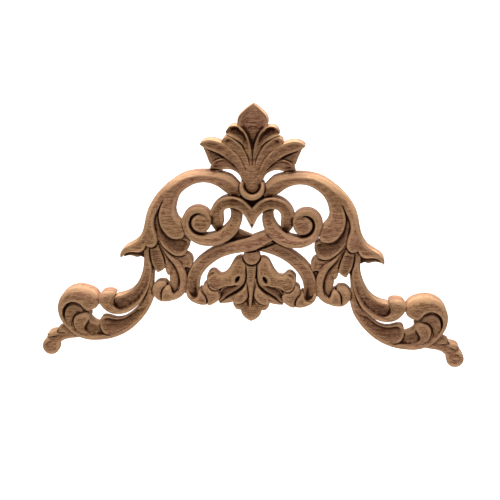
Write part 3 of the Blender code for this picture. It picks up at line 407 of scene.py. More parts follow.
class Carving:
    """Collects the element shells, their mirror images, and the fine lines that are cut or raised."""

    def __init__(self, scale):
        self.scale = scale
        self.elements = []
        self.fronts = []
        self.cuts = []
        self.beads = []

    def loft(self, name, edge_a, edge_b, knots, places, height, bulge=0.0, section=ROUND, tilt=0.0,
             caps=(0.0, 0.0), relief=(), arris=ARRIS, undercut=0.0, mirrored=True):
        """A shell between two edges; the undercut leans its wall in behind edge B."""
        front = front_grid(edge_a, edge_b, knots, places, height, bulge, section, tilt, caps, relief,
                           arris)
        lean = spread(undercut, knots, places)[:, None]
        for side, label in sides_of(name, mirrored):
            grid = front * np.array([side, 1.0, 1.0])
            self.fronts.append(grid)
            points = [tuple(point) for point in grid.reshape(-1, 3)]
            points += [(row[0][0], row[0][1], -BACK_SINK) for row in grid]
            behind = grid[:, -1] + (grid[:, 0] - grid[:, -1]) * lean
            points += [(x, z, -BACK_SINK) for x, z, level in behind]
            self.elements.append(shell_object(label, points, grid_faces(*grid.shape[:2]), self.scale))

    def leaf(self, name, edge_a, edge_b, height, caps=(0.0, 0.0), **details):
        """An element between two drawn edges."""
        edges = np.concatenate([np.array(edge_a, float), np.array(edge_b, float)], axis=1)
        knots = distances_along(edges[:, :2], edges[:, 2:])
        places = stations_along(knots[-1], *caps)
        both = smooth_curve(knots, edges, places)[0]
        self.loft(name, both[:, :2], both[:, 2:], knots, places, height, caps=caps, **details)

    def band(self, name, spine, height, caps=(0.0, 0.0), **details):
        """An element along a spine of (x, z, width); edge A is on the left of the travel."""
        stations = np.array(spine, float)
        knots = distances_along(stations)
        places = stations_along(knots[-1], *caps)
        line, slope = smooth_curve(knots, stations, places)
        travel = slope[:, :2] / np.linalg.norm(slope[:, :2], axis=1)[:, None]
        left = np.stack([-travel[:, 1], travel[:, 0]], axis=1) * line[:, 2:3] / 2
        middle = line[:, :2]
        self.loft(name, middle + left, middle - left, knots, places, height, caps=caps, **details)

    def symmetric_leaf(self, name, left_edge, height, **details):
        """A leaf on the middle line, whose right edge mirrors its left one."""
        right_edge = [(-x, z) for x, z in left_edge]
        self.leaf(name, left_edge, right_edge, height, mirrored=False, **details)

    def plate(self, name, outline, height, mirrored=True):
        """A flat layer that closes the board behind the grooves."""
        for side, label in sides_of(name, mirrored):
            turned = [(side * x, z) for x, z in outline]
            self.elements.append(prism(label, turned, (height, -BACK_SINK), self.scale))

    def dome(self, name, x, z, radius, height, bulge, mirrored=True):
        """A round button with a domed front and a rounded arris."""
        turns = np.linspace(0.0, 2 * pi, DOME_SIDES, endpoint=False)
        for side, label in sides_of(name, mirrored):
            points = [(side * x, z, height + bulge), (side * x, z, -BACK_SINK)]
            rings = []
            for share in list(np.sin(np.linspace(0, pi / 2, DOME_RINGS + 1))[1:]) + [1.0]:
                level = height + bulge * (1 - share**2) - rolled(radius * (1 - share), ARRIS)
                rings.append([(side * x + radius * share * cos(a), z + radius * share * sin(a), level)
                              for a in turns])
            self.fronts.append(np.array(rings[:-1]))
            rings[-1] = [(px, pz, -BACK_SINK) for px, pz, level in rings[-1]]
            points += [point for ring in rings for point in ring]
            faces = []
            for k in range(DOME_SIDES):
                following = (k + 1) % DOME_SIDES
                faces.append((0, 2 + k, 2 + following))
                for ring in range(DOME_RINGS):
                    low, high = 2 + ring * DOME_SIDES, 2 + (ring + 1) * DOME_SIDES
                    faces.append((low + k, high + k, high + following, low + following))
                last = 2 + DOME_RINGS * DOME_SIDES
                faces.append((1, last + following, last + k))
            self.elements.append(shell_object(label, points, faces, self.scale))

    def cut(self, path, depth, mirrored=True):
        """A groove along a path of (x, z, width), as deep as said under the surface."""
        self.cuts.append((path, depth, mirrored))

    def bead(self, path, height, mirrored=True):
        """A raised line along a path of (x, z, width), as high as said over the surface."""
        self.beads.append((path, height, mirrored))


def over_middle(half):
    """An outline or a path across the middle line, from the half on its first side."""
    return half + [(-x, *rest) for x, *rest in reversed(half) if x]


def ring_arc(x, z, radius, start, end, end_width, width):
    """Stations of an open ring that narrows towards both ends."""
    stations = []
    for step in range(RING_STEPS + 1):
        share = step / RING_STEPS
        angle = radians(start + (end - start) * share)
        swell = min(1.0, share / RING_TAPER, (1 - share) / RING_TAPER)
        stations.append((x + radius * cos(angle), z + radius * sin(angle),
                         end_width + (width - end_width) * swell))
    return stations


def palmette(carving):
    """The pointed bud, two pairs of curled lobes, the wide leaves and the stem."""
    carving.symmetric_leaf(
        "palmette_bud",
        [(-0.8, 62), (-2.2, 70), (-5.6, 77), (-9.2, 81.4), (-10.6, 85.6), (-9.9, 89.6), (-6.4, 93.5),
         (-2.8, 96.4), (-0.2, 98)],
        height=[6, 7, 9.2, 11.6, 12.5, 12.2, 11, 9.6, 8.2],
        bulge=[-0.2, -0.4, -1.4, -3, -3.4, -3.2, -2.6, -1.8, 0], section=HOLLOW_MIDDLE, arris=0.4)
    carving.leaf(
        "palmette_upper_lobe",
        [(0.2, 56), (0.5, 63), (1.8, 71), (4.4, 77.6), (8.2, 82.2), (12.4, 83.8), (16.4, 82.4),
         (18.6, 78.8)],
        [(1.6, 54), (3.6, 61.6), (6, 67.4), (9, 71.8), (12.4, 74.6), (15, 76), (17.2, 77), (18.5, 78.2)],
        height=[9, 10.4, 11.9, 12.8, 13.2, 13.3, 13, 12.2],
        bulge=[0.1, -0.2, -1.8, -4.2, -5.8, -6, -4, -0.6], section=HOLLOW_BY_A,
        tilt=[0.2, 0.6, 1.2, 1.2, 0.6, 0.3, 0, 0], arris=0.4)
    carving.leaf(
        "palmette_lower_lobe",
        [(0.4, 47), (1.4, 54.4), (3.2, 61.6), (6.2, 68), (10.2, 72.2), (14, 75), (17.9, 76),
         (20.6, 74.2), (21.3, 71)],
        [(3.8, 44), (5.8, 50.6), (8.2, 56.6), (11.2, 61.6), (14.4, 65), (16.8, 67.2), (18.8, 68.7),
         (20.4, 69.6), (21.2, 70.2)],
        height=[9.4, 10.4, 11.2, 12, 12.6, 13, 13.2, 13, 12.4],
        bulge=[0.8, 0.5, -0.4, -1.1, -1.4, -1.6, -1.6, -1, -0.2], section=HOLLOW_BY_A,
        tilt=[0, 0.1, 0.5, 0.8, 0.6, 0.5, 0.4, 0.2, 0], arris=0.5)
    carving.leaf(
        "palmette_wide_leaf",
        [(2, 45), (5, 54), (9, 61.6), (14, 66.6), (20, 70.8), (25, 73), (30.2, 73.6), (34.4, 72.2),
         (36.4, 70.3)],
        [(5.6, 42), (8.6, 50.8), (12.8, 56.2), (18, 60.4), (23, 63.5), (27, 65.4), (31, 67),
         (34.4, 68.6), (36.3, 69.9)],
        height=[8.8, 10.4, 11.2, 11.9, 12.6, 13.2, 13.6, 13.4, 12.6],
        bulge=[0.8, 0.8, 0.5, 0, -0.8, -1.6, -1.8, -0.8, 0], section=HOLLOW_BY_A,
        tilt=[0.3, 0.4, 0.7, 1, 0.9, 0.7, 0.6, 0.4, 0.1], arris=0.5)
    carving.leaf(
        "palmette_back_blade",
        [(9, 53.5), (14, 57.8), (20, 61.9), (26, 65), (31, 66.9), (34, 67.7)],
        [(10, 50.6), (15, 53.4), (20, 54.6), (25, 55.2), (29.2, 56.2), (31.2, 61)],
        height=[8.2, 8.8, 9.2, 9.6, 9.8, 9.8], bulge=[0, 0.2, 0.3, 0.3, 0.3, 0.2],
        tilt=[-0.1, -0.2, -0.3, -0.3, -0.3, 0])
    carving.plate(
        "palmette_ground",
        over_middle([(-4, 50), (-18, 58), (-18, 72), (-15, 77), (-8, 80), (0, 84)]),
        5, mirrored=False)
    carving.leaf(
        "palmette_low_lobe",
        [(6.5, 46), (8.6, 52), (12, 56.4), (16.2, 59.2), (20.8, 60.2), (25, 59.2), (28.2, 56.2),
         (29.8, 51.8)],
        [(7.4, 45), (9.4, 49.2), (12.2, 51.4), (15.6, 52.6), (19.2, 52.6), (22.6, 51.4), (26, 49.6),
         (29, 48.8)],
        height=[9, 9.8, 10.6, 11.2, 11.4, 11.4, 10.8, 9.6],
        bulge=[0.4, -0.6, -2, -2.8, -3.2, -3, -2, -0.5], tilt=[0, 0.2, 0.8, 1.2, 1.3, 1.2, 0.8, 0.3],
        section=HOLLOW_BY_A, arris=0.5)
    carving.band(
        "palmette_stem",
        [(0, 35.6, 9), (0, 39, 11), (0, 43, 12.8), (0, 47, 15), (0, 51, 15.5), (0, 56, 13.4),
         (0, 61, 8.6), (0, 66, 3.4)],
        height=[8, 8.6, 9.2, 9.6, 9.8, 9.4, 8.8, 8], bulge=[1.8, 2, 2, 2.1, 1.8, 1.5, 1.1, 0.6],
        caps=(3.5, 0), mirrored=False)


def palmette_cuts(carving):
    """The gouge cuts between the lobes, around the stem and on the bud."""
    carving.cut([(1.6, 55, 0.5), (2.8, 60, 0.9), (4.6, 65, 1.3), (7, 69.6, 1.8), (10, 72.6, 1.7),
                 (13, 74.4, 1.1), (15.6, 75.6, 0.6)], 2.9)
    carving.cut([(0, 55, 0.4), (0, 59, 0.7), (0, 63, 0.7), (0, 66, 0.4)], 1.2, mirrored=False)
    carving.cut([(0.4, 68.6, 0.5), (1, 72.4, 0.8), (2.2, 76, 0.8), (3.4, 78.2, 0.4)], 1.6)
    carving.cut(over_middle([(-4.4, 80.6, 0.5), (-2.2, 82.2, 0.8), (0, 82.8, 0.8)]), 0.8,
                mirrored=False)
    carving.cut([(8.4, 83, 0.6), (9.2, 86.2, 1.1), (8.6, 89.4, 1.2), (5.8, 92.6, 1.2),
                 (2.6, 95.2, 1.1), (0.2, 96.8, 0.6)], 1.4)
    carving.cut([(12.8, 71.8, 0.8), (14.8, 73.2, 2), (17.2, 73.4, 2.2), (19.4, 71.9, 1.2)], 0.8)
    carving.cut([(10.4, 53.2, 0.9), (13, 55.7, 1.4), (16, 58.1, 1.8), (20, 60.8, 2),
                 (24, 63.2, 2), (28, 65.1, 1.8), (31.4, 66.5, 1.4), (34.4, 68, 0.9)], 3.2)
    carving.cut([(20.4, 51.6, 0.8), (24, 52.2, 1.2), (27, 52.3, 1.2), (30, 52.4, 0.8)], 2.4)
    carving.cut(over_middle([(6.6, 44.4, 0.6), (6, 41.4, 0.9), (5.2, 38.9, 1), (3.6, 36.9, 0.9),
                             (1.8, 35.9, 0.7), (0, 35.6, 0.5)]), 2.8, mirrored=False)
    for z, reach in ((94.6, 1.3), (93, 2), (91.4, 2.4)):
        carving.cut([(-reach, z, 0.5), (0, z + 0.1, 0.7), (reach, z, 0.5)], 0.5, mirrored=False)
    for z, drop in ((88, 0.5), (85.4, 0.9)):
        carving.cut([(-7.6, z - drop, 0.4), (0, z, 0.5), (7.6, z - drop, 0.4)], 0.45, mirrored=False)


def collar(carving):
    """The raised ring that grips the stem."""
    carving.band(
        "collar",
        ring_arc(0, 40.8, 7.3, -206, 26, 2.4, 3.6), height=[11.2, 12.4, 12.6, 12.6, 12.6, 12.4, 11.2],
        bulge=0.9, section=FULL, caps=(1.2, 1.2), mirrored=False, arris=0.7)
    carving.plate(
        "collar_ground",
        [(-15, 33), (-8.4, 41), (8.4, 41), (15, 33), (15, 28), (8, 27), (0, 23), (-8, 27), (-15, 28)],
        3.5, mirrored=False)


def c_scroll(carving):
    """The large scroll from the collar, the shell leaf inside it and the ground behind both."""
    carving.leaf(
        "c_scroll",
        [(7, 39.4), (10.2, 43.6), (14.6, 47.8), (20, 49.8), (28, 51.1), (36.5, 51.1), (44, 50),
         (51, 47.1), (57.7, 42.5), (63.4, 37.6), (67.8, 32.6), (71.4, 26.8), (73.8, 20)],
        [(9, 32.6), (13.6, 33.6), (18.6, 36.2), (22.8, 39.4), (28.4, 42), (34, 42.8), (39.6, 41.8),
         (45, 39), (49.4, 35.2), (52.2, 30.4), (53.6, 25), (54.4, 20), (54, 14)],
        height=[8.4, 9, 9.6, 9.8, 9.8, 9.8, 9.8, 9.8, 9.8, 9.8, 9.8, 9.2, 8.4],
        bulge=[1.4, 2.4, 3.3, 3.9, 4.2, 4.3, 4.2, 3.8, 3.2, 2.4, 1.4, 0.7, 0.2], section=RIDGE_BY_A,
        tilt=[0.1, 0.2, 0.3, 0.4, 0.4, 0.4, 0.4, 0.3, 0.2, 0, 0, 0, 0], arris=0.6)
    carving.leaf(
        "shell_leaf",
        [(50.8, 34), (53, 28.5), (54, 23), (52.8, 18), (50, 14.4), (48, 9.5), (47.4, 6), (48.6, 3.2)],
        [(60, 36), (62.6, 29.4), (65, 23.6), (65.4, 18.4), (64.2, 12), (61.6, 7.2), (57.8, 3.4),
         (53.6, 2.4)],
        height=[10.6, 10.9, 11.3, 11.6, 11.8, 11.9, 11.9, 11.7],
        bulge=[0.5, 0.6, 0.4, 0.2, 0.2, 0.3, 0.4, 0.3], tilt=[-0.6, -0.4, -0.2, 0, 0.2, 0.2, 0.2, 0],
        section=FULL, arris=0.7)
    carving.plate(
        "acanthus_ground",
        [(62, 30), (72, 20), (74, 4), (73, -14), (66.5, -20), (58, -22), (56, -33), (50, -37), (45, -34),
         (44, -20), (52, -10), (50, -2), (58, 8)],
        4.5)


def outer_strap(carving):
    """The strap along the outside of the scroll and the flick at its end."""
    carving.leaf(
        "outer_strap",
        [(56, 43), (59.8, 36), (63, 28.9), (65.4, 24), (67, 20.8), (68.5, 16.3), (68.8, 12), (67.4, 6.6),
         (66.5, 3), (66.5, 0.1), (67.7, -2.4), (70, -4.2)],
        [(60, 41), (66.4, 34), (70.4, 28.4), (72.4, 24.8), (73.8, 20.8), (75, 15.6), (75.8, 11.2),
         (76.8, 6.4), (77.2, 3), (76.9, 0.4), (75.8, -1.8), (73, -4)],
        height=[9.6, 10, 10.5, 10.9, 11.3, 11.8, 12.1, 12.3, 12.3, 12.2, 12, 11.8],
        bulge=[0.5, 0.8, 1.2, 1.4, 1.5, 1.5, 1.3, 1.1, 0.9, 0.7, 0.5, 0], section=CREST_BY_B,
        tilt=[0.4, 0.4, 0.4, 0.4, 0.3, 0.3, 0.2, 0.1, 0, 0, 0, 0])
    carving.leaf(
        "flick_leaf",
        [(72, 14), (73, 8), (73.6, 3), (74.4, -1.6), (76, -5.6), (79, -7.6), (83.2, -7.4), (87, -7.8),
         (89.8, -9.8), (92, -12.4)],
        [(75.6, 13), (76.8, 8), (78.4, 4.6), (81.3, 0.6), (84.6, -1.8), (87.6, -3.5), (90.4, -5.4),
         (92.4, -7.6), (93.3, -10.2), (93.2, -12.6)],
        height=[10.6, 11.2, 11.6, 11.9, 12.2, 12.4, 12.4, 12, 11.2, 10.2],
        bulge=[0.8, 1, 1, 0.6, 0, -0.4, -0.4, -0.2, 0, 0], section=CREST_BY_B,
        relief=[(RIM_A, [0, 0, 0.3, 0.6, 0.7, 0.7, 0.6, 0.5, 0.3, 0])],
        tilt=[0, 0.1, 0.2, 0.2, 0.2, 0.2, 0.1, 0, 0, 0], arris=0.7)
    carving.leaf(
        "flick_back",
        [(73, -6), (75.4, -12.4), (77, -14.6), (79.4, -13.4), (82.4, -14.2), (85.4, -13.2), (88.4, -13),
         (91.6, -13.8)],
        [(77, -1), (80, -4), (83, -5.4), (85, -6.4), (87, -7.2), (89, -8), (90.6, -9), (92, -11.4)],
        height=[4.4, 3.2, 2.8, 2.6, 2.6, 2.6, 2.8, 3.4], bulge=0.2)


def acanthus_lobes(carving):
    """The two folded lobes under the shell leaf and the stem that they grow from."""
    carving.leaf(
        "second_lobe",
        [(64.6, 24), (64.6, 18), (64, 12), (61.6, 7.4), (57.6, 3.6), (52.6, 2.6), (48.2, 3.2), (45, 1.8),
         (43.2, -1.2)],
        [(67.2, 23), (67.2, 16), (66.8, 9), (66.2, 2), (63.8, -2.8), (59.8, -6.8), (55.2, -9.9),
         (50.4, -10.4), (46, -8.2)],
        height=[9, 9.2, 9.4, 9.6, 9.8, 9.9, 9.9, 9.9, 9.9],
        bulge=[0, -0.6, -1.2, -2, -3, -3.4, -3.4, -2.8, -1], section=HOLLOW_BY_A,
        tilt=[0, 0, -0.2, -0.4, -0.5, -0.5, -0.5, -0.4, -0.1], caps=(0, 2.5), arris=0.6)
    carving.leaf(
        "third_lobe",
        [(58, -6), (52, -8), (47, -8.4), (43.6, -10), (41.8, -13.4), (42.2, -17.2), (43.2, -19.2)],
        [(60, -11), (57, -15), (54, -17), (51.6, -17.6), (50.4, -18.2), (49.6, -18.8), (49, -19.6)],
        height=[8.4, 9, 9.6, 9.9, 10, 9.9, 9.6], bulge=[0, -0.4, -1, -1.5, -1.2, -0.5, 0],
        tilt=[0, -0.1, -0.1, 0, 0, 0, 0])
    carving.leaf(
        "acanthus_stem",
        [(65.6, 20), (66.2, 13), (65.6, 6), (63.8, -1.8), (60, -7.4), (55.6, -11), (51.6, -13.6),
         (49, -17), (47, -21), (45.6, -26), (45.8, -31), (46.6, -35.6), (48.9, -39.4), (53, -42.2),
         (57.4, -43.6)],
        [(67.4, 20), (68.4, 13), (68, 6), (66, -0.6), (62.8, -6.8), (59.4, -12.2), (56.6, -15.8),
         (54, -19.2), (52.4, -23.2), (51.4, -28), (51.5, -32.4), (52.8, -36.2), (55.4, -38.6),
         (57.4, -39.6), (59, -40.2)],
        height=[8.8, 8.6, 8.5, 8.5, 8.6, 8.8, 9, 9.2, 9.6, 9.9, 10.2, 10.4, 10.6, 10.8, 10.8],
        bulge=[0.4, 0.6, 0.8, 1, 1.2, 1.4, 1.6, 1.8, 1.8, 1.8, 1.8, 1.6, 1.4, 1.2, 0.8])


def small_leaves(carving):
    """The striped, the notched and the tongue-shaped leaf beside the stem."""
    carving.leaf(
        "striped_leaf",
        [(66, 0), (64.2, -5), (62.3, -10), (61.2, -14.6), (61.1, -18.8), (63.4, -21.6), (66.2, -22.8)],
        [(72.4, 0), (72.2, -6), (71.8, -11), (70.9, -15.8), (69.3, -19.2), (68.2, -21.4), (67, -23.1)],
        height=[7.2, 7.6, 8, 8.4, 8.8, 9, 9], bulge=[0.8, 1.2, 1.6, 1.8, 1.6, 1.2, 0.4],
        relief=[(RIM_B, [0, 0.3, 0.5, 0.5, 0.4, 0.2, 0])])
    carving.leaf(
        "notched_leaf",
        [(61.4, -8), (58.6, -13.4), (56, -17), (55.6, -20.4), (57, -23.4), (58.6, -24.8)],
        [(64, -9), (62.4, -14), (61.6, -18.4), (61.4, -21), (60.6, -23.4), (59.4, -24.9)],
        height=[7, 7.4, 8, 8.4, 8.6, 8.6], bulge=[0.6, 1, 1.4, 1.4, 1, 0.3])
    carving.leaf(
        "tongue_leaf",
        [(55.6, -16.6), (53.8, -20.8), (52.3, -24.4), (51.6, -28.6), (52, -33), (53.6, -37)],
        [(57.4, -18), (58, -22.6), (58.6, -26), (58, -30), (57.4, -34), (56.6, -37.2)],
        height=[7.2, 7.8, 8.2, 8.6, 8.4, 7.6], bulge=[0.8, 1.4, 1.8, 1.9, 1.5, 0.5])


def low_curl(carving):
    """The curl at the lower end of the acanthus stem."""
    carving.leaf(
        "low_curl_lobe",
        [(57.2, -32.4), (56.8, -35.6), (55.6, -38.4), (54.4, -41.2), (56.6, -43.2), (60.4, -44.2)],
        [(59.8, -31.8), (62.2, -33.8), (63.6, -36.4), (63.9, -39.2), (64.2, -41.8), (64.8, -44)],
        height=[10.6, 11.6, 12, 12, 11.6, 10.8], bulge=[0.3, 0.8, 1.2, 1.2, 0.9, 0.2], caps=(1.5, 0))
    carving.leaf(
        "low_curl_ball",
        [(64, -44.2), (64.2, -41), (64, -38), (63, -35.4), (61.2, -33), (59.4, -30.6)],
        [(67.6, -42.6), (70, -39.6), (70.8, -36), (69.6, -32.2), (66.8, -29.8), (63.4, -28.9)],
        height=[10, 10.4, 10.8, 10.8, 10.6, 10.2], bulge=[0.6, 1.6, 2.2, 2.2, 1.8, 0.8], caps=(0, 2.6))
    carving.plate(
        "low_curl_ground",
        [(56, -36), (60, -31), (66, -32), (67, -40), (58, -42)],
        6)


def acanthus_cuts(carving):
    """The gouge cuts along the leaves of the scroll."""
    carving.cut([(61.8, 30.4, 0.4), (63.2, 27.6, 0.8), (65, 23.4, 1.2), (65.9, 19.6, 1.2),
                 (65.8, 15.6, 0.9)], 3.2)
    carving.cut([(67, 21.4, 0.6), (68.2, 16.6, 1), (68.6, 12, 1.1), (67.2, 6.4, 1.1),
                 (66.3, 2.4, 1.1), (66.4, -1, 0.9)], 2.5)
    carving.cut([(65, 12.6, 0.9), (63.4, 9, 1.3), (61, 5.4, 1.7), (57.6, 2.6, 2), (53.6, 1.5, 2),
                 (50, 2, 1.9), (46.6, 2.9, 1.6)], 3.2)
    carving.cut([(65.4, 1.4, 0.7), (64, -2.6, 1), (60, -6.9, 1.2), (55.2, -10.3, 1.3),
                 (49.3, -11, 1.2), (45.4, -8.9, 0.9)], 3.4)
    carving.cut([(64.4, -2, 0.5), (61.8, -8.3, 1), (58.6, -13.4, 1.2), (55.4, -17, 1.3),
                 (53.2, -20.8, 1.3), (51.8, -24.4, 1.2), (51.2, -28.8, 1.2), (51.7, -33.2, 1.4),
                 (53.6, -36.4, 2.2), (56, -37, 1.6)], 3.6)
    carving.cut([(66, -3.4, 0.7), (63.8, -8.6, 1), (62, -13.6, 1.1), (61.2, -18, 1)], 3.6)
    carving.cut([(66.9, -3.6, 0.8), (69.6, -5.1, 1.5), (72.2, -5, 1.5), (74.4, -3, 1)], 3.6)
    carving.cut([(72.6, -4, 0.9), (72.5, -10, 1), (71.5, -16, 1), (70.2, -19.6, 0.7)], 2.8)
    carving.cut([(43.4, -19.6, 1), (45.6, -19.4, 1.7), (48, -19.4, 1.5)], 2.9)
    carving.cut([(45.9, -20.6, 1), (45.8, -23.4, 0.9), (45.7, -26.6, 0.6)], 2.9)
    carving.cut([(60.6, -32.2, 0.7), (62.8, -34.4, 1), (64, -37.4, 1.1), (64.1, -41, 0.9),
                 (64.2, -44, 0.8)], 3.2)


def leaf_stripes(carving):
    """The fine stripes across the striped leaf."""
    for step in range(STRIPES):
        z = STRIPES_TOP - STRIPES_GAP * step
        left = 63.4 - 0.26 * step if step < 9 else 61.4 + 1.1 * (step - 8)
        right = 71.2 - 0.05 * step if step < 6 else 70.9 - 0.42 * (step - 5)
        carving.cut([(left, z - 0.2, 0.5), ((left + right) / 2, z, 0.75), (right, z + 0.3, 0.5)], 0.8)


def upper_stem(carving):
    """The inner stem below the scroll and its rolled end."""
    carving.leaf(
        "upper_stem",
        [(72.4, 2), (72, -6), (71.6, -14), (71, -22), (71.8, -29), (74, -36), (78, -43.4), (83, -49.2),
         (88.6, -53), (95, -54.6), (100, -54.2), (104.4, -52.2)],
        [(76, 0), (76.4, -8), (76.6, -15), (77.6, -22), (80, -28.6), (83.4, -34.2), (87.6, -38),
         (92.4, -40.2), (97, -41.4), (99.4, -43.6), (100, -46.4), (99, -49)],
        height=[7.5, 8.4, 9.2, 9.8, 10.2, 10.6, 10.9, 11.1, 11.3, 11.5, 11.6, 11.6],
        bulge=[0.6, 0.8, 0.6, 0, -1.2, -2.2, -3.2, -3.9, -4.2, -3.4, -1.4, 0.4], section=SOFT_HOLLOW,
        tilt=[0, 0, 0, -0.1, -0.2, -0.2, -0.2, -0.2, -0.1, 0, 0, 0],
        relief=[(RIM_A, [0, 0, 0.1, 0.3, 0.5, 0.6, 0.7, 0.7, 0.6, 0.4, 0, 0])], arris=0.5)
    carving.leaf(
        "upper_curl_ball",
        [(92, -52), (97, -50.4), (99.6, -47), (99.6, -43.4), (97.8, -41), (96.4, -39.2)],
        [(97, -54.6), (103.4, -53), (107.8, -48.8), (109.9, -43.4), (107.4, -39), (101.6, -37)],
        height=[9.4, 10.6, 11.2, 11.2, 11, 10.6], bulge=[0.2, 1.2, 2, 2.4, 2, 0.8], caps=(0, 3))
    carving.plate(
        "stem_ground",
        [(69, -14), (76, -16), (77, -28), (80, -38), (83.6, -47.6), (80, -50), (76, -45), (70.5, -34)],
        5)


def lower_stem(carving):
    """The outer stem: its root, its raised rim, its cove and the hollow at its end."""
    carving.leaf(
        "lower_stem_root",
        [(68.8, -19), (69.8, -26), (70.3, -33), (70, -40), (71.8, -47), (75.4, -54)],
        [(71.6, -19), (72.8, -26), (74, -33), (75.4, -40), (78.6, -46), (82.6, -51)],
        height=[6.4, 7.4, 8.6, 9.2, 9.2, 8.6], bulge=[0.4, 0.8, 1.2, 1.2, 0.6, -0.6])
    carving.leaf(
        "lower_stem_rim",
        [(70, -36), (70.4, -40), (72.2, -48), (77, -56), (83.4, -63.2), (91, -69), (100, -73),
         (110, -74.9), (119, -74.7), (126.4, -72.2), (132, -68), (136, -63)],
        [(71.4, -36), (72.4, -40), (74.8, -47), (79.6, -54.2), (85.8, -61), (93, -66.4), (101, -70),
         (109.6, -71.2), (117.4, -71), (124, -69.2), (128.6, -66), (131.8, -62)],
        height=[8.4, 9.2, 9.6, 9.8, 9.9, 10, 10, 10.1, 10.3, 10.4, 10, 8.6],
        bulge=[0.1, 0.3, 0.4, 0.5, 0.5, 0.5, 0.6, 0.8, 0.9, 0.9, 0.6, 0.2],
        tilt=[0, 0.3, 0.5, 0.6, 0.7, 0.7, 0.7, 0.6, 0.5, 0.3, 0, 0])
    carving.leaf(
        "lower_stem",
        [(71, -36), (72, -42), (74.6, -49.4), (79.6, -56.6), (86.2, -63.2), (93.4, -68), (100.2, -70.8),
         (105.4, -70.2), (108.6, -66.4)],
        [(74, -36), (77.4, -42.4), (82.4, -49.4), (88, -54), (94, -57.2), (99.4, -57.4), (104.4, -56),
         (107.8, -57.2), (109.4, -60.8)],
        height=[8.8, 9.6, 10.2, 10.5, 10.7, 10.9, 11, 10.9, 10.4],
        bulge=[0.4, -0.8, -2.4, -3.6, -4.2, -4.4, -4, -2.6, -0.6], section=HOLLOW_BY_B,
        tilt=[0, -0.4, -0.7, -0.9, -1, -1, -0.9, -0.7, -0.3], arris=0.5,
        undercut=[0, 0, 0.1, 0.22, 0.24, 0.2, 0.14, 0.06, 0])
    carving.leaf(
        "hollow",
        [(97, -71), (106, -72.4), (116, -72), (123, -69)],
        [(103, -64.4), (110, -63), (114.8, -60.6), (117.6, -57.4)],
        height=[8.2, 9.2, 9.6, 9.8], bulge=[-0.8, -1.8, -2.2, -1.2], section=SOFT_HOLLOW,
        tilt=[-0.3, -0.3, -0.2, 0], arris=0.5)


def scroll_head(carving):
    """The rolled end of the outer stem, with its nested lobes."""
    carving.plate(
        "scroll_head_ground",
        [(114, -71), (128, -70), (133, -62), (132, -53), (124, -52.5), (120.5, -56), (121, -62)],
        5)
    carving.leaf(
        "inner_lobe",
        [(110, -72.8), (117.4, -70.4), (120.8, -66.4), (118.6, -61.8), (116, -57.4), (117.4, -53.8)],
        [(116, -74), (124.6, -71), (129, -65.8), (129, -61), (126.8, -57.2), (121.2, -54.2)],
        height=[8.8, 9.8, 10.4, 10.7, 10.9, 10.8], bulge=[0.2, 0.8, 1.4, 1.7, 1.7, 1], caps=(0, 2.2))
    carving.leaf(
        "middle_lobe",
        [(122, -72), (127.4, -67.6), (129, -62.4), (127.6, -58.4), (124.6, -55.8), (121.4, -54.6)],
        [(129, -70.6), (134, -64.8), (135.6, -58.4), (134.2, -52.4), (129, -48.8), (122.4, -50.8)],
        height=[8.6, 9, 9.2, 9.1, 9, 9], bulge=[0.2, 0.5, 0.7, 0.8, 0.7, 0.6],
        tilt=[0, -0.2, -0.4, -0.5, -0.4, 0])
    carving.leaf(
        "great_ball",
        [(129.4, -70.4), (135.6, -64), (139, -57), (139.4, -49), (136.6, -42), (131.2, -37), (124, -35),
         (117, -36.2), (111.6, -39.2), (109, -44.6), (110.8, -49.8), (115.4, -52.4)],
        [(126, -69), (132.2, -64.4), (134.9, -58.4), (134.4, -53.2), (132.2, -49.8), (129.4, -48.2),
         (126.6, -47.8), (124.4, -48.6), (122.8, -49.9), (121.6, -51.2), (120.6, -52.4), (119, -53)],
        height=[8.4, 9.8, 10.2, 10.6, 10.8, 11, 11, 10.8, 10.6, 10.4, 10.2, 10],
        bulge=[0.3, 0.8, 1.4, 1.8, 2.2, 2.6, 3, 3.2, 3.2, 2.8, 1.8, 0.4], section=CREST_NEAR_A)


def stem_cuts(carving):
    """The gouge cuts around the rolled ends."""
    carving.cut([(117.4, -52.6, 0.8), (120.9, -51.2, 1.5), (123.6, -48.4, 2), (127.7, -46.8, 2.1),
                 (131.8, -48.4, 2.1), (134.5, -52, 2), (135.3, -56, 1.6), (134.6, -61, 0.8)], 5.4)
    carving.cut([(121.2, -54.8, 0.9), (124.8, -55.2, 1.2), (127.4, -57.4, 1.3), (128.6, -60.2, 1.3),
                 (128.4, -63.5, 1.1), (127, -66.8, 0.8), (124.6, -69.6, 0.5)], 2.6)
    carving.cut([(99.8, -71.4, 0.5), (104, -71.2, 0.9), (107.4, -69.2, 1.2), (109.3, -66, 1.4),
                 (110, -62.4, 1.2)], 3.1)
    carving.cut([(95.8, -41.9, 0.6), (97.6, -43.2, 1), (98.5, -45.2, 1.2), (97.8, -47.6, 1.1),
                 (95.8, -49.4, 0.6)], 2.9)
    carving.cut([(98.8, -42, 0.7), (100.2, -44.4, 1), (100.3, -47.4, 1), (98.8, -50, 0.8)], 1)


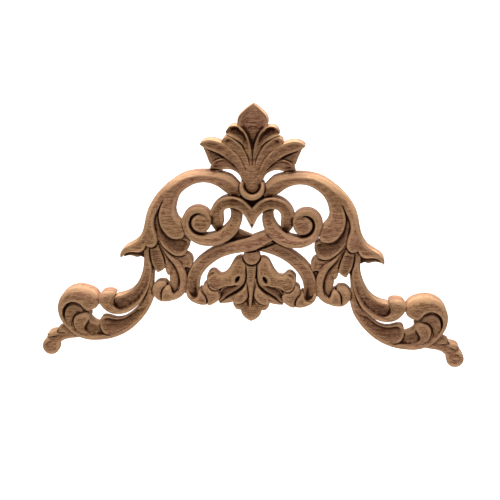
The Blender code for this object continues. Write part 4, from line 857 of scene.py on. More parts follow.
def end_leaf(carving):
    """The small knuckled leaf and ball at the outer tip."""
    carving.leaf(
        "end_stem",
        [(120, -73.4), (127, -75), (133, -75.8), (137.6, -77.6), (140.4, -81), (140.6, -84.6)],
        [(122, -71), (130, -69.4), (137, -69.6), (143, -71.6), (147.4, -75), (150, -79)],
        height=[6.5, 6.8, 7, 7.2, 7.6, 7.8], bulge=[0.6, 0.8, 0.8, 0.9, 1, 1])
    carving.dome("end_ball", 146.4, -82.2, 6.3, 7, 2.4)
    carving.leaf(
        "end_knuckle_one",
        [(131, -72.4), (135, -71), (139, -70.6)],
        [(133.6, -66.8), (138.2, -66.2), (142, -68.8)],
        height=[6.6, 8.2, 8], bulge=[0.3, 0.8, 0.4], caps=(0, 2))
    carving.leaf(
        "end_knuckle_two",
        [(138, -73.4), (142.6, -73.4), (147, -74.6)],
        [(141, -69.4), (145.6, -70), (149.4, -73)],
        height=[7, 8.6, 8.4], bulge=[0.3, 0.8, 0.4], caps=(0, 2))
    carving.leaf(
        "end_knuckle_three",
        [(143, -77.4), (146.6, -78), (149.4, -80)],
        [(147, -74.4), (150.4, -76.6), (152.4, -80)],
        height=[7.4, 8.6, 8.4], bulge=[0.3, 0.8, 0.4], caps=(0, 1.6))
    carving.cut([(139, -67.6, 0.5), (140.8, -69.4, 0.9), (141.4, -71.6, 0.7)], 2.9)
    carving.cut([(147, -71.4, 0.5), (147.8, -73.6, 0.9), (147, -75.6, 0.7)], 2.9)
    carving.cut([(145, -78.8, 0.4), (147.4, -78.2, 0.8), (149.6, -79.2, 0.5)], 1)


def heart_bow(carving):
    """The heart-shaped bow with its pointed middle."""
    carving.leaf(
        "heart_bow",
        [(-0.4, 25), (2, 28), (5.6, 31.2), (10, 33.2), (15, 33.8), (20, 32.8), (24.4, 30), (27.8, 26),
         (29.6, 21.4), (29.8, 16.6), (28.6, 12), (26, 8)],
        [(-0.4, 10.6), (2, 14.6), (4.6, 19.6), (8.4, 23.6), (12, 25.4), (15.4, 25.6), (18, 24.8),
         (19.8, 22.6), (20.4, 19.4), (20, 15.8), (20.6, 11.6), (23, 7.6)],
        height=[11, 11.4, 11.8, 12.2, 12.5, 12.6, 12.3, 11.4, 10.2, 8.6, 7, 5.6],
        bulge=[0, -0.5, -1.2, -1.7, -1.9, -1.8, -1.5, -0.9, -0.2, 0, 0, 0], section=HOLLOW_BY_A,
        arris=0.4, relief=[(RIM_A, [0.2, 0.5, 0.7, 0.7, 0.7, 0.7, 0.7, 0.6, 0.5, 0.3, 0, 0])],
        tilt=[0.3, 0.4, 0.6, 0.6, 0.6, 0.5, 0.4, 0.2, 0, 0, 0, 0])
    carving.symmetric_leaf(
        "heart_tip",
        [(-2.4, 15), (-1.4, 12.6), (-0.3, 10.2)],
        height=[6, 6, 5.6])
    carving.cut([(-1, 13.8, 1), (0, 13.5, 1.7), (1, 13.8, 1)], 3.2, mirrored=False)
    carving.cut([(0.2, 22.8, 0.5), (2.4, 26.4, 0.8), (5.8, 29.6, 0.9), (10, 31.6, 1), (15, 32.1, 1),
                 (19.4, 31, 1), (23.2, 28.6, 0.9), (26.2, 25, 0.8), (27.8, 21, 0.5)], 1.1)
    carving.cut([(6, 20.2, 0.9), (7.2, 21.6, 1.3), (8.6, 23, 0.8)], 3.6)
    carving.cut([(11, 25.2, 0.7), (13, 25.4, 1.4), (15.4, 25.2, 1)], 1.2)


def volute(carving):
    """The scroll that starts under the bow and winds in to its eye."""
    carving.band(
        "volute_ring",
        [(14.2, 27.6, 6), (11.6, 23.6, 7.2), (11, 19, 8), (12.4, 13.4, 9), (16.4, 8, 9.4), (22, 4, 9),
         (28.8, 1.8, 8.4), (36, 2.2, 7.8), (42, 5.2, 6.9), (45.8, 10, 6.2), (46.7, 15.4, 5.6),
         (44.9, 20, 5), (40.9, 22.8, 4.8), (36.2, 23, 4.8), (32.4, 20.8, 4.8), (30.6, 17, 4.2),
         (30.8, 12.8, 3)],
        height=[6.8, 7.6, 8.4, 9.4, 10.2, 10.6, 10.8, 10.8, 10.8, 10.8, 10.8, 10.8, 10.8, 10.8, 10.8,
                10.4, 9.4],
        bulge=[0.6, 0.9, 1.1, 1.5, 1.9, 2.1, 2.2, 2.2, 2.1, 2, 1.8, 1.7, 1.6, 1.5, 1.3, 0.9, 0.4],
        section=RIDGE_BY_B)
    carving.plate(
        "volute_ground",
        [(33, 18), (40, 21), (44.4, 18), (44.6, 12), (41, 7.4), (35, 6.2), (33, 9)],
        6)
    carving.dome("volute_eye", 36.1, 14.2, 7.3, 10.6, 1.5)
    carving.cut([(34.8, 19.4, 1), (36.8, 20.7, 1.5), (39.4, 20.2, 1.6), (41.8, 18.1, 1.7),
                 (43.2, 15.2, 1.8), (43.1, 12.2, 2), (41.4, 9, 2.2), (38.6, 7, 2.3), (35.2, 6.2, 2.3),
                 (31.6, 6.6, 2), (27.6, 7.6, 1.6)], 5.8)


def crossed_straps(carving):
    """The two straps that cross above the flower, one over the other."""
    strap = [(-14.2, 6.6, 7.6), (-7, 3, 8.8), (0, -0.2, 9.6), (8, -2.2, 9), (16, -4.3, 8.6),
             (24, -7.6, 8.6), (31, -12.2, 9), (37, -18.2, 9.4), (40.6, -25.4, 9.2), (41.9, -32.4, 9),
             (41.8, -37.8, 8), (41.2, -42, 6)]
    carving.band(
        "under_strap",
        strap,
        height=[6.4, 6.2, 6, 6.4, 7.4, 8.6, 9.4, 10, 10.2, 10.4, 10.6, 10],
        bulge=[0.6, 0.6, 0.6, 0.6, 0.9, 1.2, 1.1, 0.2, -1.4, -2.8, -3.4, -2.4], mirrored=False,
        section=HOLLOW_BY_B)
    carving.band(
        "over_strap",
        [(-x, z, w) for x, z, w in strap],
        height=[8.4, 9.6, 10.6, 10.4, 9.6, 9.2, 9.6, 10, 10.2, 10.4, 10.6, 10],
        bulge=[0.6, 1, 1.2, 1.2, 1.2, 1.2, 1.1, 0.2, -1.4, -2.8, -3.4, -2.4], mirrored=False,
        section=HOLLOW_BY_A)
    carving.plate(
        "crossing_ground",
        [(20, -2), (12, 0), (8, 4), (12, 7), (19, 5)],
        4)


def strap_curls(carving):
    """The curls at the lower ends of the straps."""
    carving.leaf(
        "strap_curl_lobe",
        [(46.6, -34.6), (46, -39), (43, -42.9), (38.6, -45), (34.4, -45.9), (31.4, -45.6)],
        [(44.6, -35), (43.6, -38.2), (41, -40.6), (38.6, -40.2), (37.6, -37), (36.4, -33.6)],
        height=[10.4, 11, 11.4, 11.6, 11.4, 10.8], bulge=[0.2, 0.3, 0.5, 0.8, 0.9, 0.6])
    carving.leaf(
        "strap_curl_bud",
        [(38.6, -44.4), (38.6, -41), (38.2, -37.4), (36.4, -33.4)],
        [(31.2, -45.4), (31.2, -42), (32.6, -38.8), (34.4, -35.6)],
        height=[10, 11.2, 11.6, 11], bulge=[0.4, 0.9, 0.8, 0.3], caps=(0, 1.2))
    carving.leaf(
        "strap_curl_ball",
        [(31.2, -46.2), (30.9, -42.8), (32.2, -39.2), (34.2, -36.4), (34.8, -33), (33, -30)],
        [(27.6, -45.6), (23.4, -42.4), (21.9, -38.4), (23.6, -34.4), (26.8, -31.2), (30.4, -29.2)],
        height=[10.2, 10.6, 10.8, 10.8, 10.4, 10], bulge=[0.4, 1.6, 2.2, 2.2, 1.6, 0.6], caps=(0, 1.6))
    carving.plate(
        "strap_curl_ground",
        [(46, -33), (42, -43), (31, -44), (31, -40), (35, -36.4), (38, -36)],
        6)
    carving.plate(
        "low_join_ground",
        [(42, -15), (49, -19), (50, -38), (46.4, -38), (43, -28)],
        8)


def strap_cuts(carving):
    """The gouge cuts beside the crossing and in the curls."""
    carving.cut([(-5.4, -7, 0.7), (-1, -6, 1.2), (3.6, -5.2, 1.4), (8.6, -3.4, 1.5), (13, -1.4, 1.6),
                 (17, 0, 1.3), (21, -1.6, 1.1), (26, -3.6, 0.9)], 2.4, mirrored=False)
    carving.cut([(-26, -3.6, 0.8), (-21, -1.6, 1.1), (-17, 0.2, 1.4), (-13, 2.6, 1.3),
                 (-10, 4.2, 0.9)], 2.2, mirrored=False)
    carving.cut([(36, -33.6, 0.6), (34.9, -36.2, 0.9), (32.6, -39, 1.1), (31.5, -42, 1.2),
                 (31.7, -45.6, 1.1)], 3.6)
    carving.cut([(37.9, -35, 0.6), (38.4, -38.4, 1.1), (39.8, -40.6, 1.1), (42, -41, 0.8),
                 (43.6, -39.6, 0.6)], 2.5)


def lower_flower(carving):
    """The boss and the spike of the hanging flower, and the ground behind its leaves."""
    carving.dome("flower_boss", 0, -10, 6, 8.8, 2.4, mirrored=False)
    carving.band(
        "flower_spike",
        [(-0.4, -12, 7.6), (-0.5, -17, 7.4), (-0.5, -24, 6.4), (-0.5, -31, 5), (-0.5, -38, 3.2),
         (-0.6, -44, 1.9), (-0.5, -49.6, 0.8)],
        height=[8.4, 8.4, 8.6, 8.6, 8.6, 8.4, 7.6], bulge=[0.8, 0.9, 1, 1.1, 1, 0.8, 0.3], mirrored=False)
    carving.plate(
        "flower_ground",
        over_middle([(-7, -13), (-7, -28), (-14, -30), (-21, -31), (-24, -33), (-23, -38), (-20, -42),
                     (-10, -43), (-5, -46)]),
        3.5, mirrored=False)


def flower_leaves(carving):
    """The pierced leaves and the smaller leaves under them."""
    carving.leaf(
        "pierced_leaf",
        [(4.4, -11), (9, -10.4), (12.2, -12.6), (14.4, -16.6), (16.6, -20.6), (19.3, -23.2),
         (22.2, -23.6), (24, -22.2), (25.6, -20.8), (28.2, -20.6), (30.6, -22.4), (31.9, -25.2)],
        [(4.2, -22), (4.8, -28), (8.6, -31.4), (12.2, -31.2), (14.8, -31.8), (17.4, -31.8),
         (19.6, -32.4), (21.6, -33.8), (24, -34.6), (27, -34.2), (29.6, -32.4), (31.6, -28.8)],
        height=[7.8, 8.2, 8.6, 9, 9.2, 9.3, 9.4, 9.6, 9.9, 10.1, 10.1, 9.8],
        bulge=[0.8, 1.8, 2.6, 3, 2.8, 2.5, 2.3, 2.2, 2.2, 2.2, 1.8, 1], caps=(0, 1.2), arris=0.7)
    carving.leaf(
        "jaw_leaf",
        [(4.6, -25), (9, -28), (13, -30.6), (17, -32), (20.6, -33.6), (22.2, -36.6), (23, -40.4),
         (23.6, -43)],
        [(4.9, -29.2), (7.6, -32.6), (10.6, -35.2), (13.8, -37.4), (16.8, -39.4), (19.2, -41.2),
         (21, -42.7), (22.8, -44)],
        height=[8.4, 8.6, 8.6, 8.4, 8.2, 8.2, 8.2, 8], bulge=[0, -0.8, -1.4, -1.8, -1.8, -1.4, -0.6, 0],
        section=HOLLOW_BY_A, tilt=[0, -0.2, -0.3, -0.3, -0.3, -0.2, 0, 0], arris=0.5)
    carving.leaf(
        "chin_leaf",
        [(4.4, -29.8), (6.6, -33), (9.8, -36.1), (13.2, -38.5), (16.2, -40.5), (18.8, -42.3),
         (20.6, -43.6), (22.8, -44.2)],
        [(2.6, -32), (4.4, -38), (8, -42), (12, -43.6), (15, -44.6), (17.6, -45), (20.2, -45.1),
         (22.8, -45)],
        height=[8.2, 8.2, 8.2, 8, 8, 8, 8, 7.8], bulge=[0.2, 0.4, 0.4, 0.2, 0, 0, 0, 0],
        tilt=[0, 0.2, 0.4, 0.4, 0.4, 0.3, 0.1, 0])
    carving.leaf(
        "chin_lobe",
        [(2.4, -26), (2.2, -31), (2, -36), (2.2, -40), (4.6, -43.4), (7.6, -45.2)],
        [(5, -28), (7.4, -33), (11, -37.4), (12.6, -41), (12.2, -43.8), (10, -45.2)],
        height=[7.8, 8.4, 8.9, 9.2, 9.3, 9.2], bulge=[0.3, 0.8, 1.2, 1.3, 1, 0.2])


def flower_tip(carving):
    """The three-lobed tip."""
    carving.leaf(
        "trefoil_side",
        [(3, -38), (2, -43), (3.4, -47.6), (6.4, -50)],
        [(8, -40), (12.4, -42.6), (13, -46), (10.8, -49.4)],
        height=[5.6, 6.4, 7, 7], bulge=[0.4, 0.8, 0.9, 0.2])
    carving.symmetric_leaf(
        "trefoil_tip",
        [(-5, -42), (-6.8, -46), (-7.6, -50), (-6.2, -53.8), (-3.2, -56.8), (-0.5, -58.2)],
        height=[5.4, 6.2, 6.8, 7, 6.8, 6.4], bulge=[0.6, 1, 1.4, 1.4, 1, 0.3])


def flower_cuts(carving):
    """The gouge cuts around the boss and the leaves, and the ribs of the spike."""
    carving.cut(over_middle([(-6.4, -8, 0.7), (-6.2, -11.6, 1.2), (-3.9, -15, 1.5), (0, -16.2, 1.5)]),
                3.6, mirrored=False)
    carving.cut([(4.3, -15, 0.9), (3.8, -20, 1.1), (3.8, -26, 1.3), (4.8, -30, 1.6), (7, -33, 2),
                 (10.2, -35.7, 2.1), (13.6, -38, 2.1), (17, -40, 1.8), (20.6, -42.4, 0.8)], 4.7)
    carving.cut([(3.6, -27, 0.8), (3, -31, 0.8), (2.2, -36, 0.9), (1.9, -39.4, 1.3),
                 (3.4, -42.2, 1.5), (6, -44.4, 1.4), (9, -45.4, 1.2), (12, -45.4, 0.8)], 2.9)
    carving.cut([(31.2, -28.4, 0.7), (30, -32.2, 1), (27, -34.6, 1.1), (23.8, -34.8, 1.1),
                 (21.2, -33.4, 1), (19.2, -33, 1), (17.9, -31.2, 0.8)], 2.7)
    carving.cut([(17.9, -31.2, 0.8), (16.6, -32.4, 1), (14.6, -32.5, 1), (12.2, -31.4, 0.9),
                 (10, -31.6, 0.7)], 2.7)
    carving.cut([(25.2, -22.2, 0.9), (26.8, -21.9, 1.5), (28.6, -22.5, 1.7), (29.9, -24, 1.5),
                 (30.4, -26, 0.9)], 1.8)
    carving.bead([(25, -23.9, 0.8), (26.8, -23.5, 1.3), (28.2, -24.2, 1.4), (29, -26, 0.8)], 0.8)
    carving.cut([(24, -35, 0.7), (22.6, -36.4, 1.3), (21.4, -38.2, 1.1), (20.8, -40, 0.6)], 3.2)
    carving.bead([(13.6, -27.6, 0.8), (12.8, -24.6, 1.2), (10.6, -22.8, 1.2), (8.6, -23, 0.8)], 0.5)
    for step in range(RIBS):
        z = RIBS_TOP - RIBS_GAP * step
        reach = 3 - 0.1 * step
        carving.cut([(-0.5 - reach, z, 0.4), (-0.5, z - 0.1, 0.5), (-0.5 + reach, z, 0.4)], 0.6,
                    mirrored=False)
    carving.cut([(0.9, -40, 0.4), (0.4, -44, 0.6), (0.2, -49, 0.4)], 1, mirrored=False)
    carving.cut([(-1.9, -40, 0.4), (-1.6, -44, 0.6), (-1.2, -49, 0.4)], 1, mirrored=False)


REGIONS = (palmette, palmette_cuts, collar, c_scroll, outer_strap, acanthus_lobes, small_leaves, low_curl,
           acanthus_cuts, leaf_stripes, upper_stem, lower_stem, scroll_head, stem_cuts, end_leaf,
           heart_bow, volute, crossed_straps, strap_curls, strap_cuts, lower_flower, flower_leaves,
           flower_tip, flower_cuts)


def empty_map():
    """A grid of zeros, one cell every MAP_STEP millimetres."""
    columns, rows = (int(2 * reach / MAP_STEP) for reach in MAP_REACH)
    return np.zeros((rows, columns))


def cells_of(x, z):
    """The column and the row of the map that each place falls in."""
    return tuple(((value + reach) / MAP_STEP).astype(int) for value, reach in zip((x, z), MAP_REACH))


def height_map(fronts):
    """The carved surface as a grid of heights."""
    heights = empty_map()
    share = (np.arange(MAP_FILL) + 0.5) / MAP_FILL
    for front in fronts:
        for u in share:
            along = front[:-1] * (1 - u) + front[1:] * u
            for v in share:
                points = (along[:, :-1] * (1 - v) + along[:, 1:] * v).reshape(-1, 3)
                column, row = cells_of(points[:, 0], points[:, 1])
                np.maximum.at(heights, (row, column), points[:, 2])
    return heights


def surface_at(heights, x, z):
    """The highest point of the carved surface within one cell of a place."""
    column, row = cells_of(x, z)
    return heights[row - 1:row + 2, column - 1:column + 2].max()


def line_mesh(name, path, side, heights, scale):
    """A run of edges on the surface, with its half width and its level at each point as attributes."""
    stations = np.array(path, float)
    knots = distances_along(stations)
    count = max(LINE_MIN_STEPS, round(knots[-1] / LINE_STEP))
    places = np.linspace(0.0, knots[-1], count + 1)
    line = smooth_curve(knots, stations, places)[0]
    taper = np.sqrt(np.clip(np.sin(pi * places / knots[-1]) * LINE_TAPER, 0, 1))
    level = np.array([surface_at(heights, side * p[0], p[1]) for p in line])
    level = np.convolve(np.pad(level, 1, "edge"), np.ones(3) / 3, "valid")
    mesh = bpy.data.meshes.new(name)
    mesh.from_pydata([Vector((side * p[0], 0.0, p[1])) * scale for p in line],
                     [(k, k + 1) for k in range(count)], [])
    half_width = np.maximum(line[:, 2] * LINE_SPREAD * taper, LINE_LEAST)
    store_on_points(mesh, "half_width", half_width * scale)
    store_on_points(mesh, "level", level * scale)
    return mesh


def store_on_points(mesh, name, values):
    """Keep a number on each point of a mesh."""
    stored = mesh.attributes.new(name, "FLOAT", "POINT")
    stored.data.foreach_set("value", values)


def new_node(tree, kind, place, **settings):
    """A node of a tree with its settings."""
    node = tree.nodes.new(kind)
    node.location = (place[0] * 200, place[1] * -180)
    for name, value in settings.items():
        setattr(node, name, value)
    return node


def set_values(node, **values):
    """Set plain values of a node's inputs; an underscore stands for a space in their names."""
    for name, value in values.items():
        node.inputs[name.replace("_", " ")].default_value = value


def link_all(tree, pairs):
    """Join each output socket to its input socket."""
    for output, socket in pairs:
        tree.links.new(output, socket)


def add_sockets(tree, in_out, sockets):
    """The named sockets of a tree, as (name, kind, default or None)."""
    for name, kind, default in sockets:
        socket = tree.interface.new_socket(name, in_out=in_out, socket_type="NodeSocket" + kind)
        if default is not None:
            socket.default_value = default


def set_input(modifier, name, value):
    """Set a Geometry Nodes input by its socket's identifier."""
    for item in modifier.node_group.interface.items_tree:
        if item.item_type == "SOCKET" and item.in_out == "INPUT" and item.name == name:
            modifier[item.identifier] = value
            return
    raise KeyError(name)


def swept_line_tree():
    """Geometry Nodes: an oval line swept along a run of edges, as wide and as high as its points say."""
    tree = bpy.data.node_groups.new("swept_line", "GeometryNodeTree")
    add_sockets(tree, "INPUT", (("Path", "Geometry", None), ("Sides", "Int", LINE_SIDES),
                                ("Depth per Width", "Float", 1.0), ("Finish", "Material", None)))
    add_sockets(tree, "OUTPUT", (("Line", "Geometry", None),))
    start = new_node(tree, "NodeGroupInput", (0, 0))
    to_curve = new_node(tree, "GeometryNodeMeshToCurve", (1, 0))
    width = new_node(tree, "GeometryNodeInputNamedAttribute", (1, 1), data_type="FLOAT")
    set_values(width, Name="half_width")
    level = new_node(tree, "GeometryNodeInputNamedAttribute", (3, 2), data_type="FLOAT")
    set_values(level, Name="level")
    radius = new_node(tree, "GeometryNodeSetCurveRadius", (2, 0))
    ring = new_node(tree, "GeometryNodeCurvePrimitiveCircle", (2, 1))
    set_values(ring, Radius=1.0)
    sweep = new_node(tree, "GeometryNodeCurveToMesh", (3, 0))
    set_values(sweep, Fill_Caps=True)
    place = new_node(tree, "GeometryNodeInputPosition", (3, 3))
    split = new_node(tree, "ShaderNodeSeparateXYZ", (4, 3))
    depth = new_node(tree, "ShaderNodeMath", (5, 3), operation="MULTIPLY")
    sunk = new_node(tree, "ShaderNodeMath", (6, 3), operation="SUBTRACT")
    rebuilt = new_node(tree, "ShaderNodeCombineXYZ", (7, 3))
    move = new_node(tree, "GeometryNodeSetPosition", (7, 0))
    realize = new_node(tree, "GeometryNodeRealizeInstances", (8, 0))
    finish = new_node(tree, "GeometryNodeSetMaterial", (9, 0))
    end = new_node(tree, "NodeGroupOutput", (10, 0))
    link_all(tree, ((start.outputs["Path"], to_curve.inputs["Mesh"]),
                    (to_curve.outputs["Curve"], radius.inputs["Curve"]),
                    (width.outputs["Attribute"], radius.inputs["Radius"]),
                    (start.outputs["Sides"], ring.inputs["Resolution"]),
                    (radius.outputs["Curve"], sweep.inputs["Curve"]),
                    (ring.outputs["Curve"], sweep.inputs["Profile Curve"]),
                    (place.outputs["Position"], split.inputs["Vector"]),
                    (split.outputs["Y"], depth.inputs[0]),
                    (start.outputs["Depth per Width"], depth.inputs[1]),
                    (depth.outputs[0], sunk.inputs[0]), (level.outputs["Attribute"], sunk.inputs[1]),
                    (split.outputs["X"], rebuilt.inputs["X"]), (sunk.outputs[0], rebuilt.inputs["Y"]),
                    (split.outputs["Z"], rebuilt.inputs["Z"]),
                    (sweep.outputs["Mesh"], move.inputs["Geometry"]),
                    (rebuilt.outputs["Vector"], move.inputs["Position"]),
                    (move.outputs["Geometry"], realize.inputs["Geometry"]),
                    (realize.outputs["Geometry"], finish.inputs["Geometry"]),
                    (start.outputs["Finish"], finish.inputs["Material"]),
                    (finish.outputs["Geometry"], end.inputs["Line"])))
    if "Scale" in sweep.inputs:
        tree.links.new(width.outputs["Attribute"], sweep.inputs["Scale"])
    return tree


def gouge_marks_tree():
    """Geometry Nodes: shallow uneven marks of the gouge over the front, at right angles to the back."""
    tree = bpy.data.node_groups.new("gouge_marks", "GeometryNodeTree")
    add_sockets(tree, "INPUT", (("Board", "Geometry", None), ("Mark Depth", "Float", MARK_DEPTH),
                                ("Marks per Metre", "Float", MARKS_PER_METRE),
                                ("Seed", "Float", MARKS_SEED), ("Finish", "Material", None)))
    add_sockets(tree, "OUTPUT", (("Board", "Geometry", None),))
    start = new_node(tree, "NodeGroupInput", (0, 0))
    noise = new_node(tree, "ShaderNodeTexNoise", (1, 1), noise_dimensions="4D")
    set_values(noise, Detail=1.0)
    centred = new_node(tree, "ShaderNodeMath", (2, 1), operation="SUBTRACT")
    centred.inputs[1].default_value = 0.5
    depth = new_node(tree, "ShaderNodeMath", (3, 1), operation="MULTIPLY")
    offset = new_node(tree, "ShaderNodeCombineXYZ", (4, 1))
    normal = new_node(tree, "GeometryNodeInputNormal", (1, 2))
    split = new_node(tree, "ShaderNodeSeparateXYZ", (2, 2))
    facing = new_node(tree, "FunctionNodeCompare", (3, 2), data_type="FLOAT", operation="LESS_THAN")
    set_values(facing, B=MARKS_FACING)
    move = new_node(tree, "GeometryNodeSetPosition", (5, 0))
    realize = new_node(tree, "GeometryNodeRealizeInstances", (6, 0))
    finish = new_node(tree, "GeometryNodeSetMaterial", (7, 0))
    end = new_node(tree, "NodeGroupOutput", (8, 0))
    link_all(tree, ((start.outputs["Marks per Metre"], noise.inputs["Scale"]),
                    (start.outputs["Seed"], noise.inputs["W"]),
                    (noise.outputs["Fac"], centred.inputs[0]), (centred.outputs[0], depth.inputs[0]),
                    (start.outputs["Mark Depth"], depth.inputs[1]),
                    (depth.outputs[0], offset.inputs["Y"]),
                    (normal.outputs["Normal"], split.inputs["Vector"]),
                    (split.outputs["Y"], facing.inputs["A"]),
                    (start.outputs["Board"], move.inputs["Geometry"]),
                    (facing.outputs["Result"], move.inputs["Selection"]),
                    (offset.outputs["Vector"], move.inputs["Offset"]),
                    (move.outputs["Geometry"], realize.inputs["Geometry"]),
                    (realize.outputs["Geometry"], finish.inputs["Geometry"]),
                    (start.outputs["Finish"], finish.inputs["Material"]),
                    (finish.outputs["Geometry"], end.inputs["Board"])))
    return tree


def evaluated_mesh(item):
    """The object's mesh with its modifiers applied."""
    bpy.context.view_layer.update()
    return bpy.data.meshes.new_from_object(item.evaluated_get(bpy.context.evaluated_depsgraph_get()))


def swept_lines(lines, label, tree, heights, scale, finish):
    """The fine lines as solid sweeps, in a collection of their own."""
    group = bpy.data.collections.new(label)
    bpy.context.scene.collection.children.link(group)
    for number, (path, depth, mirrored) in enumerate(lines):
        widest = max(width for x, z, width in path)
        for side, name in sides_of(f"{label}_{number}", mirrored):
            run = bpy.data.objects.new(name, line_mesh(name, path, side, heights, scale))
            bpy.context.scene.collection.objects.link(run)
            sweep = run.modifiers.new("sweep", "NODES")
            sweep.node_group = tree
            set_input(sweep, "Sides", LINE_SIDES)
            set_input(sweep, "Depth per Width", depth / (widest * LINE_SPREAD))
            set_input(sweep, "Finish", finish)
            solid = evaluated_mesh(run)
            bpy.data.objects.remove(run, do_unlink=True)
            close_faces(solid)
            group.objects.link(bpy.data.objects.new(name, solid))
    return group


def back_cutter():
    """A block over everything behind the wall plane."""
    reach = DRAWN_WIDTH / 2 + BACK_CUT_MARGIN
    outline = ((-reach, -reach), (reach, -reach), (reach, reach), (-reach, reach))
    return prism("back_cutter", outline, (0.0, -BACK_CUT_HEIGHT), MM)


def eye_cutter(side, scale):
    """A deep oval eye, drilled nearly through one of the lower leaves."""
    x, z, half_across, half_along, turn = EYE
    turn_cos, turn_sin = cos(radians(turn)), sin(radians(turn))
    outline = []
    for k in range(EYE_SIDES):
        angle = 2 * pi * k / EYE_SIDES
        across, along = half_across * cos(angle), half_along * sin(angle)
        outline.append((side * (x + across * turn_cos + along * turn_sin),
                        z + across * turn_sin - along * turn_cos))
    return prism("eye_cutter", outline, (EYE_FLOOR, EYE_CUTTER_TOP), scale)


def join_elements(carving, finish):
    """One board: the elements and the beads joined, cut flat behind, drilled, and the lines cut in."""
    tree = swept_line_tree()
    heights = height_map(carving.fronts)
    beads = swept_lines(carving.beads, "bead", tree, heights, carving.scale, finish)
    cuts = swept_lines(carving.cuts, "cut", tree, heights, carving.scale, finish)
    board = bpy.data.objects.new("board", carving.elements[0].data)
    bpy.context.scene.collection.objects.link(board)
    for element in carving.elements[1:]:
        beads.objects.link(element)
    for cutter in (back_cutter(), eye_cutter(1, carving.scale), eye_cutter(-1, carving.scale)):
        cuts.objects.link(cutter)
    for group, operation in ((beads, "UNION"), (cuts, "DIFFERENCE")):
        step = board.modifiers.new(group.name, "BOOLEAN")
        step.operation = operation
        step.operand_type = "COLLECTION"
        step.collection = group
        step.solver = BOARD_SOLVER
    mesh = evaluated_mesh(board)
    for item in [board, carving.elements[0], *beads.objects, *cuts.objects]:
        bpy.data.objects.remove(item, do_unlink=True)
    bpy.data.collections.remove(beads)
    bpy.data.collections.remove(cuts)
    return mesh


def blurred(heights, radius):
    """The heights averaged over a soft window with a radius in cells."""
    reach = int(WINDOW_REACH * radius)
    window = np.exp(-0.5 * (np.arange(-reach, reach + 1) / radius) ** 2)
    window /= window.sum()
    for axis in (0, 1):
        heights = np.apply_along_axis(lambda line: np.convolve(line, window, "same"), axis, heights)
    return heights


def seen_heights(mesh, scale):
    """The finished surface as a grid of heights, looked up straight from the front."""
    tree = BVHTree.FromPolygons([vertex.co for vertex in mesh.vertices],
                                [tuple(face.vertices) for face in mesh.polygons])
    heights = empty_map()
    ahead = Vector((0.0, 1.0, 0.0))
    for row, column in np.ndindex(heights.shape):
        x = ((column + 0.5) * MAP_STEP - MAP_REACH[0]) * scale
        z = ((row + 0.5) * MAP_STEP - MAP_REACH[1]) * scale
        hit = tree.ray_cast(Vector((x, -RAY_START, z)), ahead)[0]
        if hit:
            heights[row, column] = -hit.y / scale
    return heights


def mark_recesses(mesh, scale):
    """Store on each point how far it lies below its surroundings: near ones, and wider ones. These masks
    drive the painted shade in the recesses and the painted highlight on the edges.
    """
    heights = seen_heights(mesh, scale)
    place = np.zeros(len(mesh.vertices) * 3)
    normal = np.zeros_like(place)
    mesh.vertices.foreach_get("co", place)
    place = place.reshape(-1, 3) / scale
    mesh.vertex_normals.foreach_get("vector", normal)
    facing = np.clip(-FACING_GAIN * normal.reshape(-1, 3)[:, 1] - FACING_START, 0.0, 1.0)
    column, row = cells_of(place[:, 0], place[:, 2])
    column = np.clip(column, 0, heights.shape[1] - 1)
    row = np.clip(row, 0, heights.shape[0] - 1)
    solid = (heights > 0).astype(float)
    for name, radius in (("recess_fine", FINE_RECESS), ("recess_wide", WIDE_RECESS)):
        around = blurred(heights, radius / MAP_STEP)
        if radius == WIDE_RECESS:
            around = around / np.maximum(blurred(solid, radius / MAP_STEP), LEAST_SOLID)
        depth = (around[row, column] + place[:, 1]) * facing
        store_on_points(mesh, name, np.clip(depth / radius, -1.0, 1.0))


def mixed(tree, place, factor, first, second, blend="MIX"):
    """A mix of two colours, each an output socket or three numbers. Returns its result."""
    node = new_node(tree, "ShaderNodeMix", place, data_type="RGBA", blend_type=blend)
    tree.links.new(factor, node.inputs[0])
    for socket, value in zip((node.inputs[6], node.inputs[7]), (first, second)):
        if isinstance(value, bpy.types.NodeSocket):
            tree.links.new(value, socket)
        else:
            socket.default_value = (*value, 1.0)
    return node.outputs[2]


def remapped(tree, place, value, low, high, low_out=0.0, high_out=1.0):
    """A value taken from one range to another, smoothly and within its ends."""
    node = new_node(tree, "ShaderNodeMapRange", place, interpolation_type="SMOOTHSTEP")
    for name, number in (("From Min", low), ("From Max", high), ("To Min", low_out), ("To Max", high_out)):
        node.inputs[name].default_value = number
    tree.links.new(value, node.inputs["Value"])
    return node.outputs["Result"]


def tinted(tree, place, color, mask, low, high, strength, tint):
    """The colour multiplied by a tint, as strongly as the mask says between its low and high values."""
    factor = remapped(tree, (place[0] - 1, place[1] + 1), mask, low, high, 0.0, strength)
    return mixed(tree, place, factor, color, tint, "MULTIPLY")


def stretched_noise(tree, place, where, scale, detail):
    """Noise on the object's own coordinates, stretched along X as wood fibres are."""
    mapping = new_node(tree, "ShaderNodeMapping", place)
    set_values(mapping, Scale=scale)
    noise = new_node(tree, "ShaderNodeTexNoise", (place[0] + 1, place[1]))
    set_values(noise, Scale=1.0, Detail=detail)
    link_all(tree, ((where, mapping.inputs["Vector"]),
                    (mapping.outputs["Vector"], noise.inputs["Vector"])))
    return noise.outputs["Fac"]


